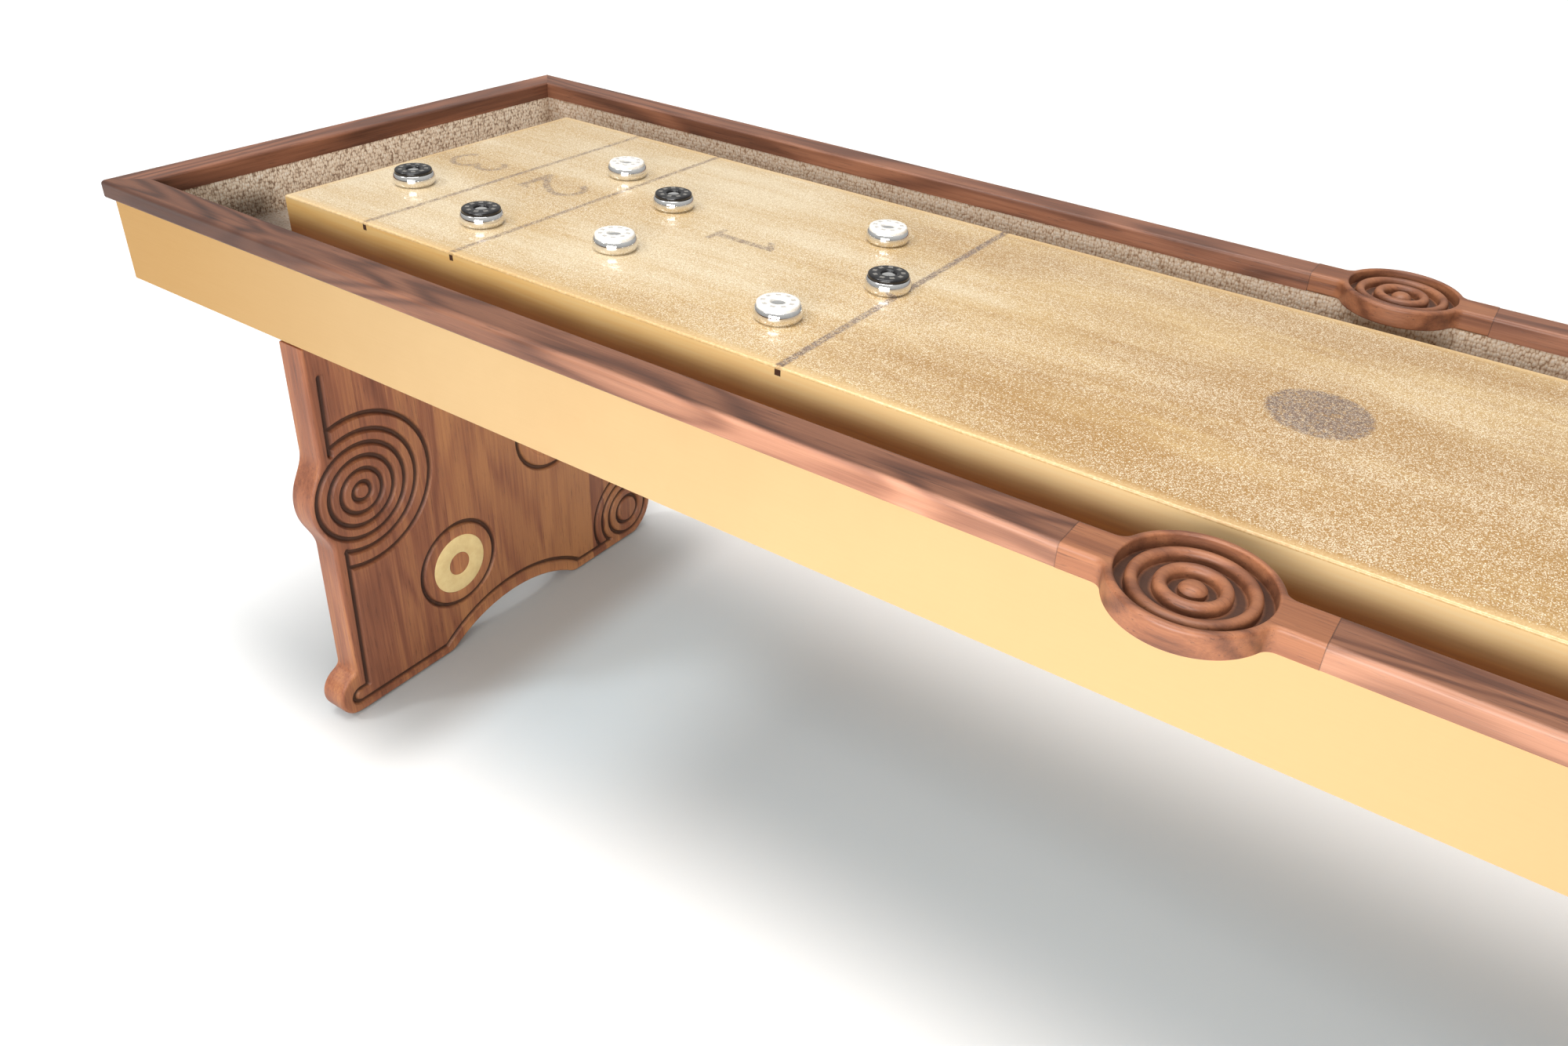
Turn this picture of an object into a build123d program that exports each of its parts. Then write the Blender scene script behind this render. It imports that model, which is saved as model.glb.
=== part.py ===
from build123d import *
import math
import os

os.makedirs("parts", exist_ok=True)

# ---------------------------------------------------------------------------
# Shuffleboard table with carved slab legs, brass apron panels and steel pucks.
# Frame: origin on the floor under the middle of the table, +X along the
# table, +Z up.  All numbers are millimetres.
# ---------------------------------------------------------------------------

# --- overall ---------------------------------------------------------------
LENGTH = 2840.0            # outside of the end rails
WIDTH = 778.0              # outside of the long rails
PLAY_TOP = 795.0           # playing surface above the floor
RAIL_TOP = 808.2           # top of the walnut rail above the floor
RAIL_T = 23.7              # rail thickness
RAIL_W = 43.4              # rail width
APRON_BOTTOM = 677.0       # lower edge of the brass apron

# --- apron and cabinet walls -----------------------------------------------
APRON_INSET = 8.2          # brass face behind the rail's outer face
BRASS_T = 2.0              # brass sheet
CORE_T = 27.0              # plywood wall behind the brass
LINER_T = 4.0              # fabric-covered lining board inside the wall
GUTTER_DEPTH = 72.0        # playing surface to the gutter's fabric
CARPET_T = 4.0             # gutter fabric with its backing
FLOOR_T = 18.0             # plywood cabinet floor

# --- playfield -------------------------------------------------------------
PLAY_L = 2490.0
PLAY_W = 508.0
COAT_T = 3.2               # clear poured finish
SLAB_T = 60.0              # laminated maple
LINE_X = (152.4, 304.8, 775.0)   # line centres from the playfield's end
LINE_W = (6.0, 6.0, 7.5)
LINE_D = 7.0               # inlay depth
DIGIT_D = 3.0
DOT_R = 52.0

# --- rosette blocks --------------------------------------------------------
BLOCK_HALF = 104.0         # seam with the rail, from the table's centre
DISC_R = 69.0
DISH_R = 62.0
DISH_D = 14.0
RING_A = (42.0, 52.5)
RING_B = (20.0, 31.0)
BOSS_R = 11.4

# --- legs ------------------------------------------------------------------
LEG_IN = 1185.0            # inner carved face from the centre
LEG_T = 45.0
LEG_TOP = 617.0
LEG_LOW = 3.0              # wood clears the floor, the pads carry it
GROOVE_R = 4.0             # curved grooves
LINE_R = 3.8               # straight grooves
RING_OUT = 50.8            # brass inlay
RING_IN = 19.6
RING_D = 3.0
PLATE_T = 6.0
CLEAT_TOP = 678.0

# --- levelling pads --------------------------------------------------------
PAD_Y = 232.0
PAD_R = 15.0
PAD_H = 6.5
STEM_R = 5.0
STEM_TOP = 52.0

# --- bow adjusters under the playfield -------------------------------------
ADJ_X = (-620.0, 0.0, 620.0)
ADJ_Z = 713.5
ROD_R = 5.0
HEX_AF = 17.0

# --- pucks -----------------------------------------------------------------
PUCK_R = 27.1
PUCK_LIFT = 0.15
PUCK_H = 20.6
PUCKS = {
    "puck_black_1": (-1162.9, -115.8),
    "puck_black_2": (-986.1, -161.9),
    "puck_white_1": (-806.4, -119.2),
    "puck_white_2": (-538.4, -158.4),
    "puck_black_3": (-489.0, -11.9),
    "puck_black_4": (-848.6, 39.8),
    "puck_white_3": (-979.9, 97.7),
    "puck_white_4": (-570.6, 121.7),
}

# --- derived ---------------------------------------------------------------
HL = LENGTH / 2
HW = WIDTH / 2
RAIL_BOT = RAIL_TOP - RAIL_T
IN_X = HL - RAIL_W
IN_Y = HW - RAIL_W
BX = HL - APRON_INSET                  # brass outer face, ends
BY = HW - APRON_INSET
CX = BX - BRASS_T                      # core outer face
CY = BY - BRASS_T
CIX = CX - CORE_T                      # core inner face
CIY = CY - CORE_T
LIX = CIX - LINER_T                    # liner inner face
LIY = CIY - LINER_T
CARPET_TOP = PLAY_TOP - GUTTER_DEPTH
FLOOR_TOP = CARPET_TOP - CARPET_T
FLOOR_BOT = FLOOR_TOP - FLOOR_T
SLAB_TOP = PLAY_TOP - COAT_T
SLAB_BOT = SLAB_TOP - SLAB_T
RAIL_CY = HW - RAIL_W / 2
PX = PLAY_L / 2
PY = PLAY_W / 2


def box(x0, x1, y0, y1, z0, z1):
    return Pos((x0 + x1) / 2, (y0 + y1) / 2, (z0 + z1) / 2) * Box(
        x1 - x0, y1 - y0, z1 - z0)


def prism(points, z0, z1):
    """Closed polygon in XY pulled up from z0 to z1."""
    face = make_face(Polyline(*points, close=True))
    return Pos(0, 0, z0) * extrude(face, amount=z1 - z0)


def save(shape, node):
    if isinstance(shape, (list, tuple, ShapeList)):
        shape = Compound(children=list(shape))
    export_step(shape, "parts/" + node + ".step")


def edges_where(shape, test):
    return [e for e in shape.edges() if test(e)]


def try_fillet(shape, edges, radii):
    for r in radii:
        try:
            out = fillet(edges, r)
            if out.is_valid and out.volume < shape.volume * 1.001:
                return out
        except Exception:
            continue
    return shape


# ---------------------------------------------------------------------------
# Rails: softened rectangle section, mitred at the corners
# ---------------------------------------------------------------------------
def rail_bar(x0, x1, sy):
    """Rail along X on the side sy, section rounded, still square ended."""
    ya, yb = sorted((sy * IN_Y, sy * HW))
    bar = box(x0, x1, ya, yb, RAIL_BOT, RAIL_TOP)

    def long_edge(y, z):
        return [e for e in bar.edges()
                if abs(e.length - (x1 - x0)) < 0.01
                and abs(e.center().Y - y) < 0.01
                and abs(e.center().Z - z) < 0.01]

    bar = fillet(long_edge(sy * HW, RAIL_TOP), 6.0)
    bar = fillet(long_edge(sy * IN_Y, RAIL_TOP), 4.0)
    bar = fillet(long_edge(sy * HW, RAIL_BOT), 3.0)
    return bar


def end_bar(sx):
    xa, xb = sorted((sx * IN_X, sx * HL))
    bar = box(xa, xb, -HW, HW, RAIL_BOT, RAIL_TOP)

    def long_edge(x, z):
        return [e for e in bar.edges()
                if abs(e.length - 2 * HW) < 0.01
                and abs(e.center().X - x) < 0.01
                and abs(e.center().Z - z) < 0.01]

    bar = fillet(long_edge(sx * HL, RAIL_TOP), 6.0)
    bar = fillet(long_edge(sx * IN_X, RAIL_TOP), 4.0)
    bar = fillet(long_edge(sx * HL, RAIL_BOT), 3.0)
    return bar


def mitre_wedge(sx, sy, for_end):
    """Half of a corner to cut away, split along the 45 degree mitre."""
    z0, z1 = RAIL_BOT - 5, RAIL_TOP + 5
    a = (sx * (IN_X - 20), sy * (IN_Y - 20))
    b = (sx * (HL + 20), sy * (HW + 20))
    if for_end:
        c = (sx * (IN_X - 20), sy * (HW + 20))
    else:
        c = (sx * (HL + 20), sy * (IN_Y - 20))
    return prism([a, b, c], z0, z1)


for sy, side in ((-1, "front"), (1, "back")):
    for sx, end in ((-1, "left"), (1, "right")):
        xa, xb = sorted((sx * BLOCK_HALF, sx * HL))
        rail = rail_bar(xa, xb, sy) - mitre_wedge(sx, sy, False)
        save(rail, "rail_%s_%s" % (side, end))

for sx, end in ((-1, "left"), (1, "right")):
    rail = end_bar(sx) - mitre_wedge(sx, -1, True) - mitre_wedge(sx, 1, True)
    save(rail, "rail_end_" + end)


# ---------------------------------------------------------------------------
# Rosette blocks let into both long rails at the table's centre
# ---------------------------------------------------------------------------
def dish_tool():
    """Air above the carved dish: rounded lip, two round rings and a boss."""
    t, f = RAIL_T, RAIL_T - DISH_D
    crown = t - 4.0
    with BuildSketch(Plane.XZ) as sk:
        with BuildLine():
            Line((0, t + 1), (0, t - 4.5))
            ThreePointArc((0, t - 4.5), (7.6, t - 6.0), (BOSS_R, t - 9.8))
            Polyline((BOSS_R, t - 9.8), (BOSS_R, f), (RING_B[0], f))
            for r0, r1 in (RING_B, RING_A):
                mid, hw = (r0 + r1) / 2, (r1 - r0) / 2
                Line((r0, f), (r0, crown - hw))
                ThreePointArc((r0, crown - hw), (mid, crown),
                              (r1, crown - hw))
                Line((r1, crown - hw), (r1, f))
            Line((RING_B[1], f), (RING_A[0], f))
            Polyline((RING_A[1], f), (DISH_R, f), (DISH_R, t - 2.0))
            ThreePointArc((DISH_R, t - 2.0), (DISH_R + 0.6, t - 0.6),
                          (DISH_R + 2.0, t))
            Polyline((DISH_R + 2.0, t), (DISH_R + 2.0, t + 1), (0, t + 1))
        make_face()
    return revolve(sk.sketch, axis=Axis.Z)


def rosette(sy):
    neck = Rectangle(2 * BLOCK_HALF, RAIL_W)
    plan = neck + Circle(DISC_R)
    corners = [v for v in plan.vertices() if abs(v.X) < BLOCK_HALF - 1]
    plan = fillet(corners, 12.0)
    body = extrude(plan, amount=RAIL_T)
    rim = [e for e in body.edges()
           if abs(e.center().Z - RAIL_T) < 0.01
           and abs(abs(e.center().X) - BLOCK_HALF) > 1.0]
    body = try_fillet(body, rim, (4.0, 3.0))
    low = [e for e in body.edges()
           if abs(e.center().Z) < 0.01
           and abs(abs(e.center().X) - BLOCK_HALF) > 1.0]
    body = try_fillet(body, low, (2.5, 2.0))
    body = body - dish_tool()
    return Pos(0, sy * RAIL_CY, RAIL_BOT) * body


save(rosette(-1), "rosette_front")
save(rosette(1), "rosette_back")

# ---------------------------------------------------------------------------
# Brass apron sheets and the plywood walls behind them
# ---------------------------------------------------------------------------
for sy, side in ((-1, "front"), (1, "back")):
    ya, yb = sorted((sy * BY, sy * CY))
    save(box(-BX, BX, ya, yb, APRON_BOTTOM, RAIL_BOT), "apron_brass_" + side)
    ya, yb = sorted((sy * CY, sy * CIY))
    save(box(-CX, CX, ya, yb, APRON_BOTTOM + 1, RAIL_BOT), "wall_core_" + side)
for sx, end in ((-1, "left"), (1, "right")):
    xa, xb = sorted((sx * BX, sx * CX))
    save(box(xa, xb, -CY, CY, APRON_BOTTOM, RAIL_BOT), "apron_brass_" + end)
    xa, xb = sorted((sx * CX, sx * CIX))
    save(box(xa, xb, -CIY, CIY, APRON_BOTTOM + 1, RAIL_BOT),
         "wall_core_" + end)

# ---------------------------------------------------------------------------
# Fabric lining of the gutters: wall boards and floor runners
# ---------------------------------------------------------------------------
CARPET_IN_Y = 222.0
CARPET_IN_X = 1213.0
for sy, side in ((-1, "front"), (1, "back")):
    ya, yb = sorted((sy * CIY, sy * LIY))
    save(box(-CIX, CIX, ya, yb, CARPET_TOP, RAIL_BOT - 0.5), "liner_" + side)
    ya, yb = sorted((sy * CIY, sy * CARPET_IN_Y))
    save(box(-CIX, CIX, ya, yb, FLOOR_TOP, CARPET_TOP), "gutter_" + side)
for sx, end in ((-1, "left"), (1, "right")):
    xa, xb = sorted((sx * CIX, sx * LIX))
    save(box(xa, xb, -LIY, LIY, CARPET_TOP, RAIL_BOT - 0.5), "liner_" + end)
    xa, xb = sorted((sx * CIX, sx * CARPET_IN_X))
    save(box(xa, xb, -CARPET_IN_Y, CARPET_IN_Y, FLOOR_TOP, CARPET_TOP),
         "gutter_" + end)

# ---------------------------------------------------------------------------
# Cabinet floor with a window at each bow adjuster, and its cross bearers
# ---------------------------------------------------------------------------
floor = box(-CIX, CIX, -CIY, CIY, FLOOR_BOT, FLOOR_TOP)
for x in ADJ_X:
    floor = floor - box(x - 45, x + 45, -100, 100, FLOOR_BOT - 1,
                        FLOOR_TOP + 1)
save(floor, "cabinet_floor")

LEG_MID = LEG_IN + LEG_T / 2
bearers = []
for x in (-1000, -775, -465, -165, 165, 465, 775, 1000):
    bearers.append(box(x - 30, x + 30, -CIY, CIY, CLEAT_TOP, FLOOR_BOT))
for s in (-1, 1):
    bearers.append(box(s * LEG_MID - 80, s * LEG_MID + 80, -CIY, CIY,
                       CLEAT_TOP, FLOOR_BOT))
save(bearers, "cross_bearers")

# slips that carry the playfield on the cabinet floor
save([box(-1200, 1200, 122, 142, FLOOR_TOP, SLAB_BOT),
      box(-1200, 1200, -142, -122, FLOOR_TOP, SLAB_BOT)], "playfield_slips")


# ---------------------------------------------------------------------------
# Playfield: maple slab, walnut inlays, clear poured top
# ---------------------------------------------------------------------------
def stroke(points, width):
    """Outline polygon of a constant-width stroke along an open path."""
    left, right = [], []
    n = len(points)
    for i in range(n):
        if i == 0:
            dx, dy = points[1][0] - points[0][0], points[1][1] - points[0][1]
        elif i == n - 1:
            dx = points[-1][0] - points[-2][0]
            dy = points[-1][1] - points[-2][1]
        else:
            dx = points[i + 1][0] - points[i - 1][0]
            dy = points[i + 1][1] - points[i - 1][1]
        d = math.hypot(dx, dy)
        nx, ny = -dy / d * width / 2, dx / d * width / 2
        left.append((points[i][0] + nx, points[i][1] + ny))
        right.append((points[i][0] - nx, points[i][1] - ny))
    return left + right[::-1]


def arc_pts(cx, cy, r, a0, a1, n, ry=None):
    ry = r if ry is None else ry
    return [(cx + r * math.cos(math.radians(a0 + (a1 - a0) * i / n)),
             cy + ry * math.sin(math.radians(a0 + (a1 - a0) * i / n)))
            for i in range(n + 1)]


# numerals in their own frame: u to the right, v up, 90 mm tall
def digit_polys(d):
    if d == 1:
        return [[(-5, -45), (5, -45), (5, 45), (-2, 45), (-20, 33),
                 (-20, 25), (-5, 33)],
                [(-19.5, -45), (19.5, -45), (19.5, -38), (-19.5, -38)]]
    if d == 2:
        top = arc_pts(0, 17, 23, 165, -28, 14, 23)
        tail = top + [(9, -12), (-8, -28), (-21, -36)]
        return [stroke(tail, 9.0),
                [(-31, -45), (31, -45), (31, -27), (26, -27), (22, -35),
                 (-31, -35)]]
    up = arc_pts(-2, 22, 19, 155, -75, 12, 19)
    lo = arc_pts(-2, -18, 25, 80, -155, 14, 23)
    return [stroke(up, 7.5), stroke(lo, 7.5)]


def digit_solid(d, x, sx, z0, z1):
    """Numeral d read from the end on side sx, centred on x."""
    out = None
    for poly in digit_polys(d):
        # read from the -X end: up is +X, right is -Y
        pts = [(x - sx * v, sx * u) for u, v in poly]
        p = prism(pts, z0, z1)
        out = p if out is None else out + p
    return out


lines, digits = [], []
for sx in (-1, 1):
    for off, w in zip(LINE_X, LINE_W):
        x = sx * (PX - off)
        lines.append(box(x - w / 2, x + w / 2, -PY, PY, SLAB_TOP - LINE_D,
                         SLAB_TOP))
    for d, off in ((3, 77.0), (2, 228.5), (1, 540.0)):
        digits.append(digit_solid(d, sx * (PX - off), sx,
                                  SLAB_TOP - DIGIT_D, SLAB_TOP))
dot = Pos(0, 0, SLAB_TOP - DIGIT_D / 2) * Cylinder(DOT_R, DIGIT_D)

slab = box(-PX, PX, -PY, PY, SLAB_BOT, SLAB_TOP)
low_edges = [e for e in slab.edges() if abs(e.center().Z - SLAB_BOT) < 0.01]
slab = fillet(low_edges, 3.0)
for tool in lines + digits + [dot]:
    slab = slab - tool
save(slab, "playfield_slab")
save(lines + digits + [dot], "playfield_inlays")

coat = box(-PX, PX, -PY, PY, SLAB_TOP, PLAY_TOP)
coat = try_fillet(coat, [e for e in coat.edges()
                         if abs(e.center().Z - PLAY_TOP) < 0.01],
                  (2.6, 2.0, 1.5))
save(coat, "playfield_coat")


# ---------------------------------------------------------------------------
# Legs: glued walnut slabs, carved on both faces
# Leg sketches are drawn as (Y, Z) and pulled along X.
# ---------------------------------------------------------------------------
ROSE = (-258.5, 372.8)
FOOT = (288.0, 65.0)
RING_CENTRES = ((-109.0, 162.0), (109.0, 320.0))
SCROLL = (-321.0, 38.0)
ARCH_R, ARCH_H = 245.0, 47.5
ARC_R, ARC_H = 254.0, 74.0
BASE_H = 21.5


def leg_outline():
    base = make_face(Polyline((-314, LEG_TOP), (314, LEG_TOP), (323, 80),
                              (300, LEG_LOW), (-312, LEG_LOW), (-325.3, 60),
                              close=True))
    plan = base + Pos(SCROLL[0], SCROLL[1]) * Circle(37.0)
    plan = plan + Pos(FOOT[0], FOOT[1]) * Circle(63.5)
    plan = plan + Pos(ROSE[0], ROSE[1]) * Circle(84.0)
    plan = plan - Pos(0, ARCH_H - ARCH_R) * Circle(ARCH_R)
    plan = plan - Pos(0, LEG_LOW - 50) * Rectangle(900, 100)
    inner = [v for v in plan.vertices()
             if LEG_LOW + 8 < v.Y < LEG_TOP - 8]
    for r in (10.0, 6.0, 3.0):
        try:
            out = fillet(inner, r)
            if out.area > 0:
                return out
        except Exception:
            continue
    return plan


def groove_circle(c, r, x):
    return Pos(x, c[0], c[1]) * Rot(0, 90, 0) * Torus(r, GROOVE_R)


def groove_line(p, q, x, r=LINE_R):
    dy, dz = q[0] - p[0], q[1] - p[1]
    length = math.hypot(dy, dz)
    ang = math.degrees(math.atan2(dz, dy))
    cyl = Cylinder(r, length, rotation=(90, 0, 0))
    bar = Pos(x, (p[0] + q[0]) / 2, (p[1] + q[1]) / 2) * Rot(ang, 0, 0) * cyl
    return [bar]


def groove_arc(c, r, a0, a1, x):
    """Arc of groove in the YZ plane, angles from +Y towards +Z."""
    y0 = c[0] + r * math.cos(math.radians(a0))
    z0 = c[1] + r * math.sin(math.radians(a0))
    ring = Plane(origin=(x, y0, z0),
                 x_dir=(1, 0, 0),
                 z_dir=(0, -math.sin(math.radians(a0)),
                        math.cos(math.radians(a0))))
    sec = ring * Circle(GROOVE_R)
    body = revolve(sec, axis=Axis((x, c[0], c[1]), (1, 0, 0)),
                   revolution_arc=a1 - a0)
    return body


def carve(x):
    """All groove tools of one carved face lying in the plane X = x."""
    tools = []
    for r in (14.5, 34.5, 54.5, 74.3):
        tools.append(groove_circle(ROSE, r, x))
    for r in (94.3, 119.8):
        yu = -297.0 - ROSE[0]
        yl = -301.0 - ROSE[0]
        au = math.degrees(math.atan2(math.sqrt(r * r - yu * yu), yu))
        al = -math.degrees(math.atan2(math.sqrt(r * r - yl * yl), yl))
        tools.append(groove_arc(ROSE, r, al, au, x))
    tools += groove_line((-293.5, 567), (-298, 450), x)
    tools += groove_line((-300.3, 290), (-307.6, BASE_H + 21), x)
    tools += groove_line((-303.5, BASE_H + 24), (-323, BASE_H + 24), x, 3.6)
    tools.append(groove_arc((-322, BASE_H + 12), 12.0, 90, 270, x))
    ay = math.sqrt(ARC_R ** 2 - (BASE_H - ARC_H + ARC_R) ** 2)
    tools += groove_line((-323, BASE_H), (2 - ay, BASE_H), x)
    a = math.degrees(math.atan2(BASE_H - ARC_H + ARC_R, ay))
    tools.append(groove_arc((0, ARC_H - ARC_R), ARC_R, a, 180 - a, x))
    tools += groove_line((ay - 2, BASE_H), (239, BASE_H), x)
    for c in RING_CENTRES:
        tools.append(groove_circle(c, 73.0, x))
    for r in (27.5, 48.5):
        tools.append(groove_circle(FOOT, r, x))
    for r in (67.0, 87.0):
        lo = 180 + math.degrees(math.asin((FOOT[1] - BASE_H) / r))
        hi = math.degrees(math.acos((300.5 - FOOT[0]) / r))
        tools.append(groove_arc(FOOT, r, hi, lo, x))
    tools += groove_line((296, 567), (300.8, 131), x)
    return tools


def leg_solid():
    """Leg standing at +LEG_MID, carved on both of its broad faces."""
    face = leg_outline()
    body = Plane.YZ.offset(LEG_IN) * extrude(face, amount=LEG_T)
    outline = [e for e in body.edges()
               if (abs(e.center().X - LEG_IN) < 0.01
                   or abs(e.center().X - LEG_IN - LEG_T) < 0.01)
               and e.center().Z < LEG_TOP - 0.5
               and e.center().Z > LEG_LOW + 0.5]
    body = try_fillet(body, outline, (5.0, 4.0, 3.0))
    for x in (LEG_IN, LEG_IN + LEG_T):
        for tool in carve(x):
            body = body - tool
    for x0, x1 in ((LEG_IN - 1, LEG_IN + RING_D),
                   (LEG_IN + LEG_T - RING_D, LEG_IN + LEG_T + 1)):
        for c in RING_CENTRES:
            seat = Plane.YZ.offset(x0) * Pos(c[0], c[1]) * (
                Circle(RING_OUT) - Circle(RING_IN))
            body = body - extrude(seat, amount=x1 - x0)
    for y in (-PAD_Y, PAD_Y):
        body = body - Pos(LEG_MID, y, LEG_LOW) * Cylinder(
            PAD_R + 1.5, 8.0)
        body = body - Pos(LEG_MID, y, (STEM_TOP + 4) / 2) * Cylinder(
            STEM_R + 0.05, STEM_TOP + 4)
    for y in SCREW_Y:
        body = body - Pos(LEG_MID, y, LEG_TOP - 25) * Cylinder(3.1, 50.2)
    return body


SCREW_Y = (-250.0, -150.0, -50.0, 50.0, 150.0, 250.0)
BOLT_Y = (-260.0, -90.0, 90.0, 260.0)
BOLT_DX = 35.0

leg = Pos(-2 * LEG_MID, 0, 0) * leg_solid()
spin = Rot(0, 0, 180)
save(leg, "leg_left")
save(spin * leg, "leg_right")

rings = []
for x0 in (LEG_IN, LEG_IN + LEG_T - RING_D):
    for c in RING_CENTRES:
        plan = Plane.YZ.offset(x0) * Pos(c[0], c[1]) * (
            Circle(RING_OUT) - Circle(RING_IN))
        rings.append(Pos(-2 * LEG_MID, 0, 0) * extrude(plan, amount=RING_D))
save(rings + [spin * r for r in rings], "leg_ring_inlays")

# steel top plate, screwed to the leg and bolted up into a wooden cleat
plate = box(LEG_MID - 46, LEG_MID + 46, -300, 300, LEG_TOP, LEG_TOP + PLATE_T)
cleat = box(LEG_MID - 50, LEG_MID + 50, -290, 290, LEG_TOP + PLATE_T,
            CLEAT_TOP)
fast = []
for y in SCREW_Y:
    plate = plate - Pos(LEG_MID, y, LEG_TOP + PLATE_T / 2) * Cylinder(
        3.1, PLATE_T + 2)
    cleat = cleat - Pos(LEG_MID, y, LEG_TOP + PLATE_T) * Cylinder(6.5, 9.0)
    screw = Pos(LEG_MID, y, LEG_TOP - 20 + PLATE_T / 2) * Cylinder(
        3.0, 40 + PLATE_T)
    screw = screw + Pos(LEG_MID, y, LEG_TOP + PLATE_T + 1.75) * Cylinder(
        6.0, 3.5)
    fast.append(screw)
for y in BOLT_Y:
    for dx in (-BOLT_DX, BOLT_DX):
        x = LEG_MID + dx
        plate = plate - Pos(x, y, LEG_TOP + PLATE_T / 2) * Cylinder(
            5.3, PLATE_T + 2)
        cleat = cleat - Pos(x, y, LEG_TOP + PLATE_T + 20) * Cylinder(5.1, 44)
        head = Pos(x, y, LEG_TOP - 6.4) * extrude(
            RegularPolygon(9.2, 6), amount=6.4)
        shank = Pos(x, y, LEG_TOP + 20) * Cylinder(5.0, 40)
        fast.append(head + shank)
save([plate, spin * plate], "leg_plates")
save([cleat, spin * cleat], "leg_cleats")
save(fast + [spin * f for f in fast], "leg_fasteners")

# ---------------------------------------------------------------------------
# Levelling pads let into the feet
# ---------------------------------------------------------------------------
n = 0
for sx in (-1, 1):
    for sy in (-1, 1):
        n += 1
        pad = Pos(sx * LEG_MID, sy * PAD_Y, PAD_H / 2) * Cylinder(PAD_R, PAD_H)
        pad = fillet([e for e in pad.edges()
                      if abs(e.center().Z) < 0.01
                      and e.geom_type == GeomType.CIRCLE], 1.2)
        stem = Pos(sx * LEG_MID, sy * PAD_Y, (PAD_H + STEM_TOP) / 2
                   ) * Cylinder(STEM_R, STEM_TOP - PAD_H)
        save(pad + stem, "leveller_%d" % n)

# ---------------------------------------------------------------------------
# Bow adjusters: two brackets with fixed studs, one turning barrel each
# ---------------------------------------------------------------------------
fixed = []
for k, x in enumerate(ADJ_X):
    for s in (-1, 1):
        ya, yb = sorted((s * 85, s * 91))
        upright = box(x - 25, x + 25, ya, yb, 703.0, SLAB_BOT)
        ya, yb = sorted((s * 85, s * 117))
        flange = box(x - 25, x + 25, ya, yb, SLAB_BOT - 4, SLAB_BOT)
        stud = Pos(x, s * 54.0, ADJ_Z) * Cylinder(
            ROD_R, 64, rotation=(90, 0, 0))
        nut = Pos(x, s * 91.0, ADJ_Z) * Rot(-90 * s, 0, 0) * extrude(
            RegularPolygon(9.4, 6), amount=7)
        fixed.append(upright + flange + stud + nut)
    barrel = Pos(x, 40, ADJ_Z) * Rot(90, 0, 0) * extrude(
        RegularPolygon(HEX_AF / 2, 6, major_radius=False), amount=80)
    for s in (-1, 1):
        barrel = barrel - Pos(x, s * 30, ADJ_Z) * Cylinder(
            ROD_R + 0.05, 24, rotation=(90, 0, 0))
    save(barrel, "adjuster_barrel_%d" % (k + 1))
save(fixed, "adjuster_brackets")


# ---------------------------------------------------------------------------
# Pucks: chromed steel body with a moulded cap pressed round its hub
# ---------------------------------------------------------------------------
def puck_body():
    r = PUCK_R
    with BuildSketch(Plane.XZ) as sk:
        with BuildLine():
            Polyline((0, 0.6), (15, 0.6), (16, 0), (23.2, 0))
            Spline((23.2, 0), (25.6, 1.6), (r, 7.4), (26.3, 12.2),
                   (24.6, 15.2))
            Polyline((24.6, 15.2), (24.0, 15.4), (24.0, 14.4), (8.6, 14.4),
                     (8.6, 17.6))
            Polyline((8.6, 17.6), (7.2, 17.6), (0, 16.9), (0, 0.6))
        make_face()
    return revolve(sk.sketch, axis=Axis.Z)


def puck_cap():
    z0, z1 = 14.4, PUCK_H
    with BuildSketch(Plane.XZ) as sk:
        with BuildLine():
            Polyline((8.6, z0), (23.9, z0), (23.9, z1 - 2.6))
            ThreePointArc((23.9, z1 - 2.6), (23.2, z1 - 0.9),
                          (21.6, z1 - 0.2))
            Polyline((21.6, z1 - 0.2), (16.0, z1), (11.2, z1 - 0.1),
                     (9.4, z1 - 1.0), (8.6, z1 - 2.4), (8.6, z0))
        make_face()
    cap = revolve(sk.sketch, axis=Axis.Z)
    for i in range(9):
        mark = Pos(0, 0, z1 + 0.1) * Rot(0, 0, 40 * i) * Pos(
            16.8, 0, 0) * Box(5.0, 6.2, 1.0)
        cap = cap - mark
    return cap


body0, cap0 = puck_body(), puck_cap()
for name, (x, y) in PUCKS.items():
    place = Pos(x, y, PLAY_TOP + PUCK_LIFT)
    save(place * body0, name + "_body")
    save(place * cap0, name + "_cap")

print("nodes:", len(os.listdir("parts")))
print("leg volume litres:", round(leg.volume / 1e6, 2), "valid", leg.is_valid)
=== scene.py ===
import math

import bpy
import mathutils.geometry
import numpy as np
from mathutils import Matrix, Vector


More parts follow.
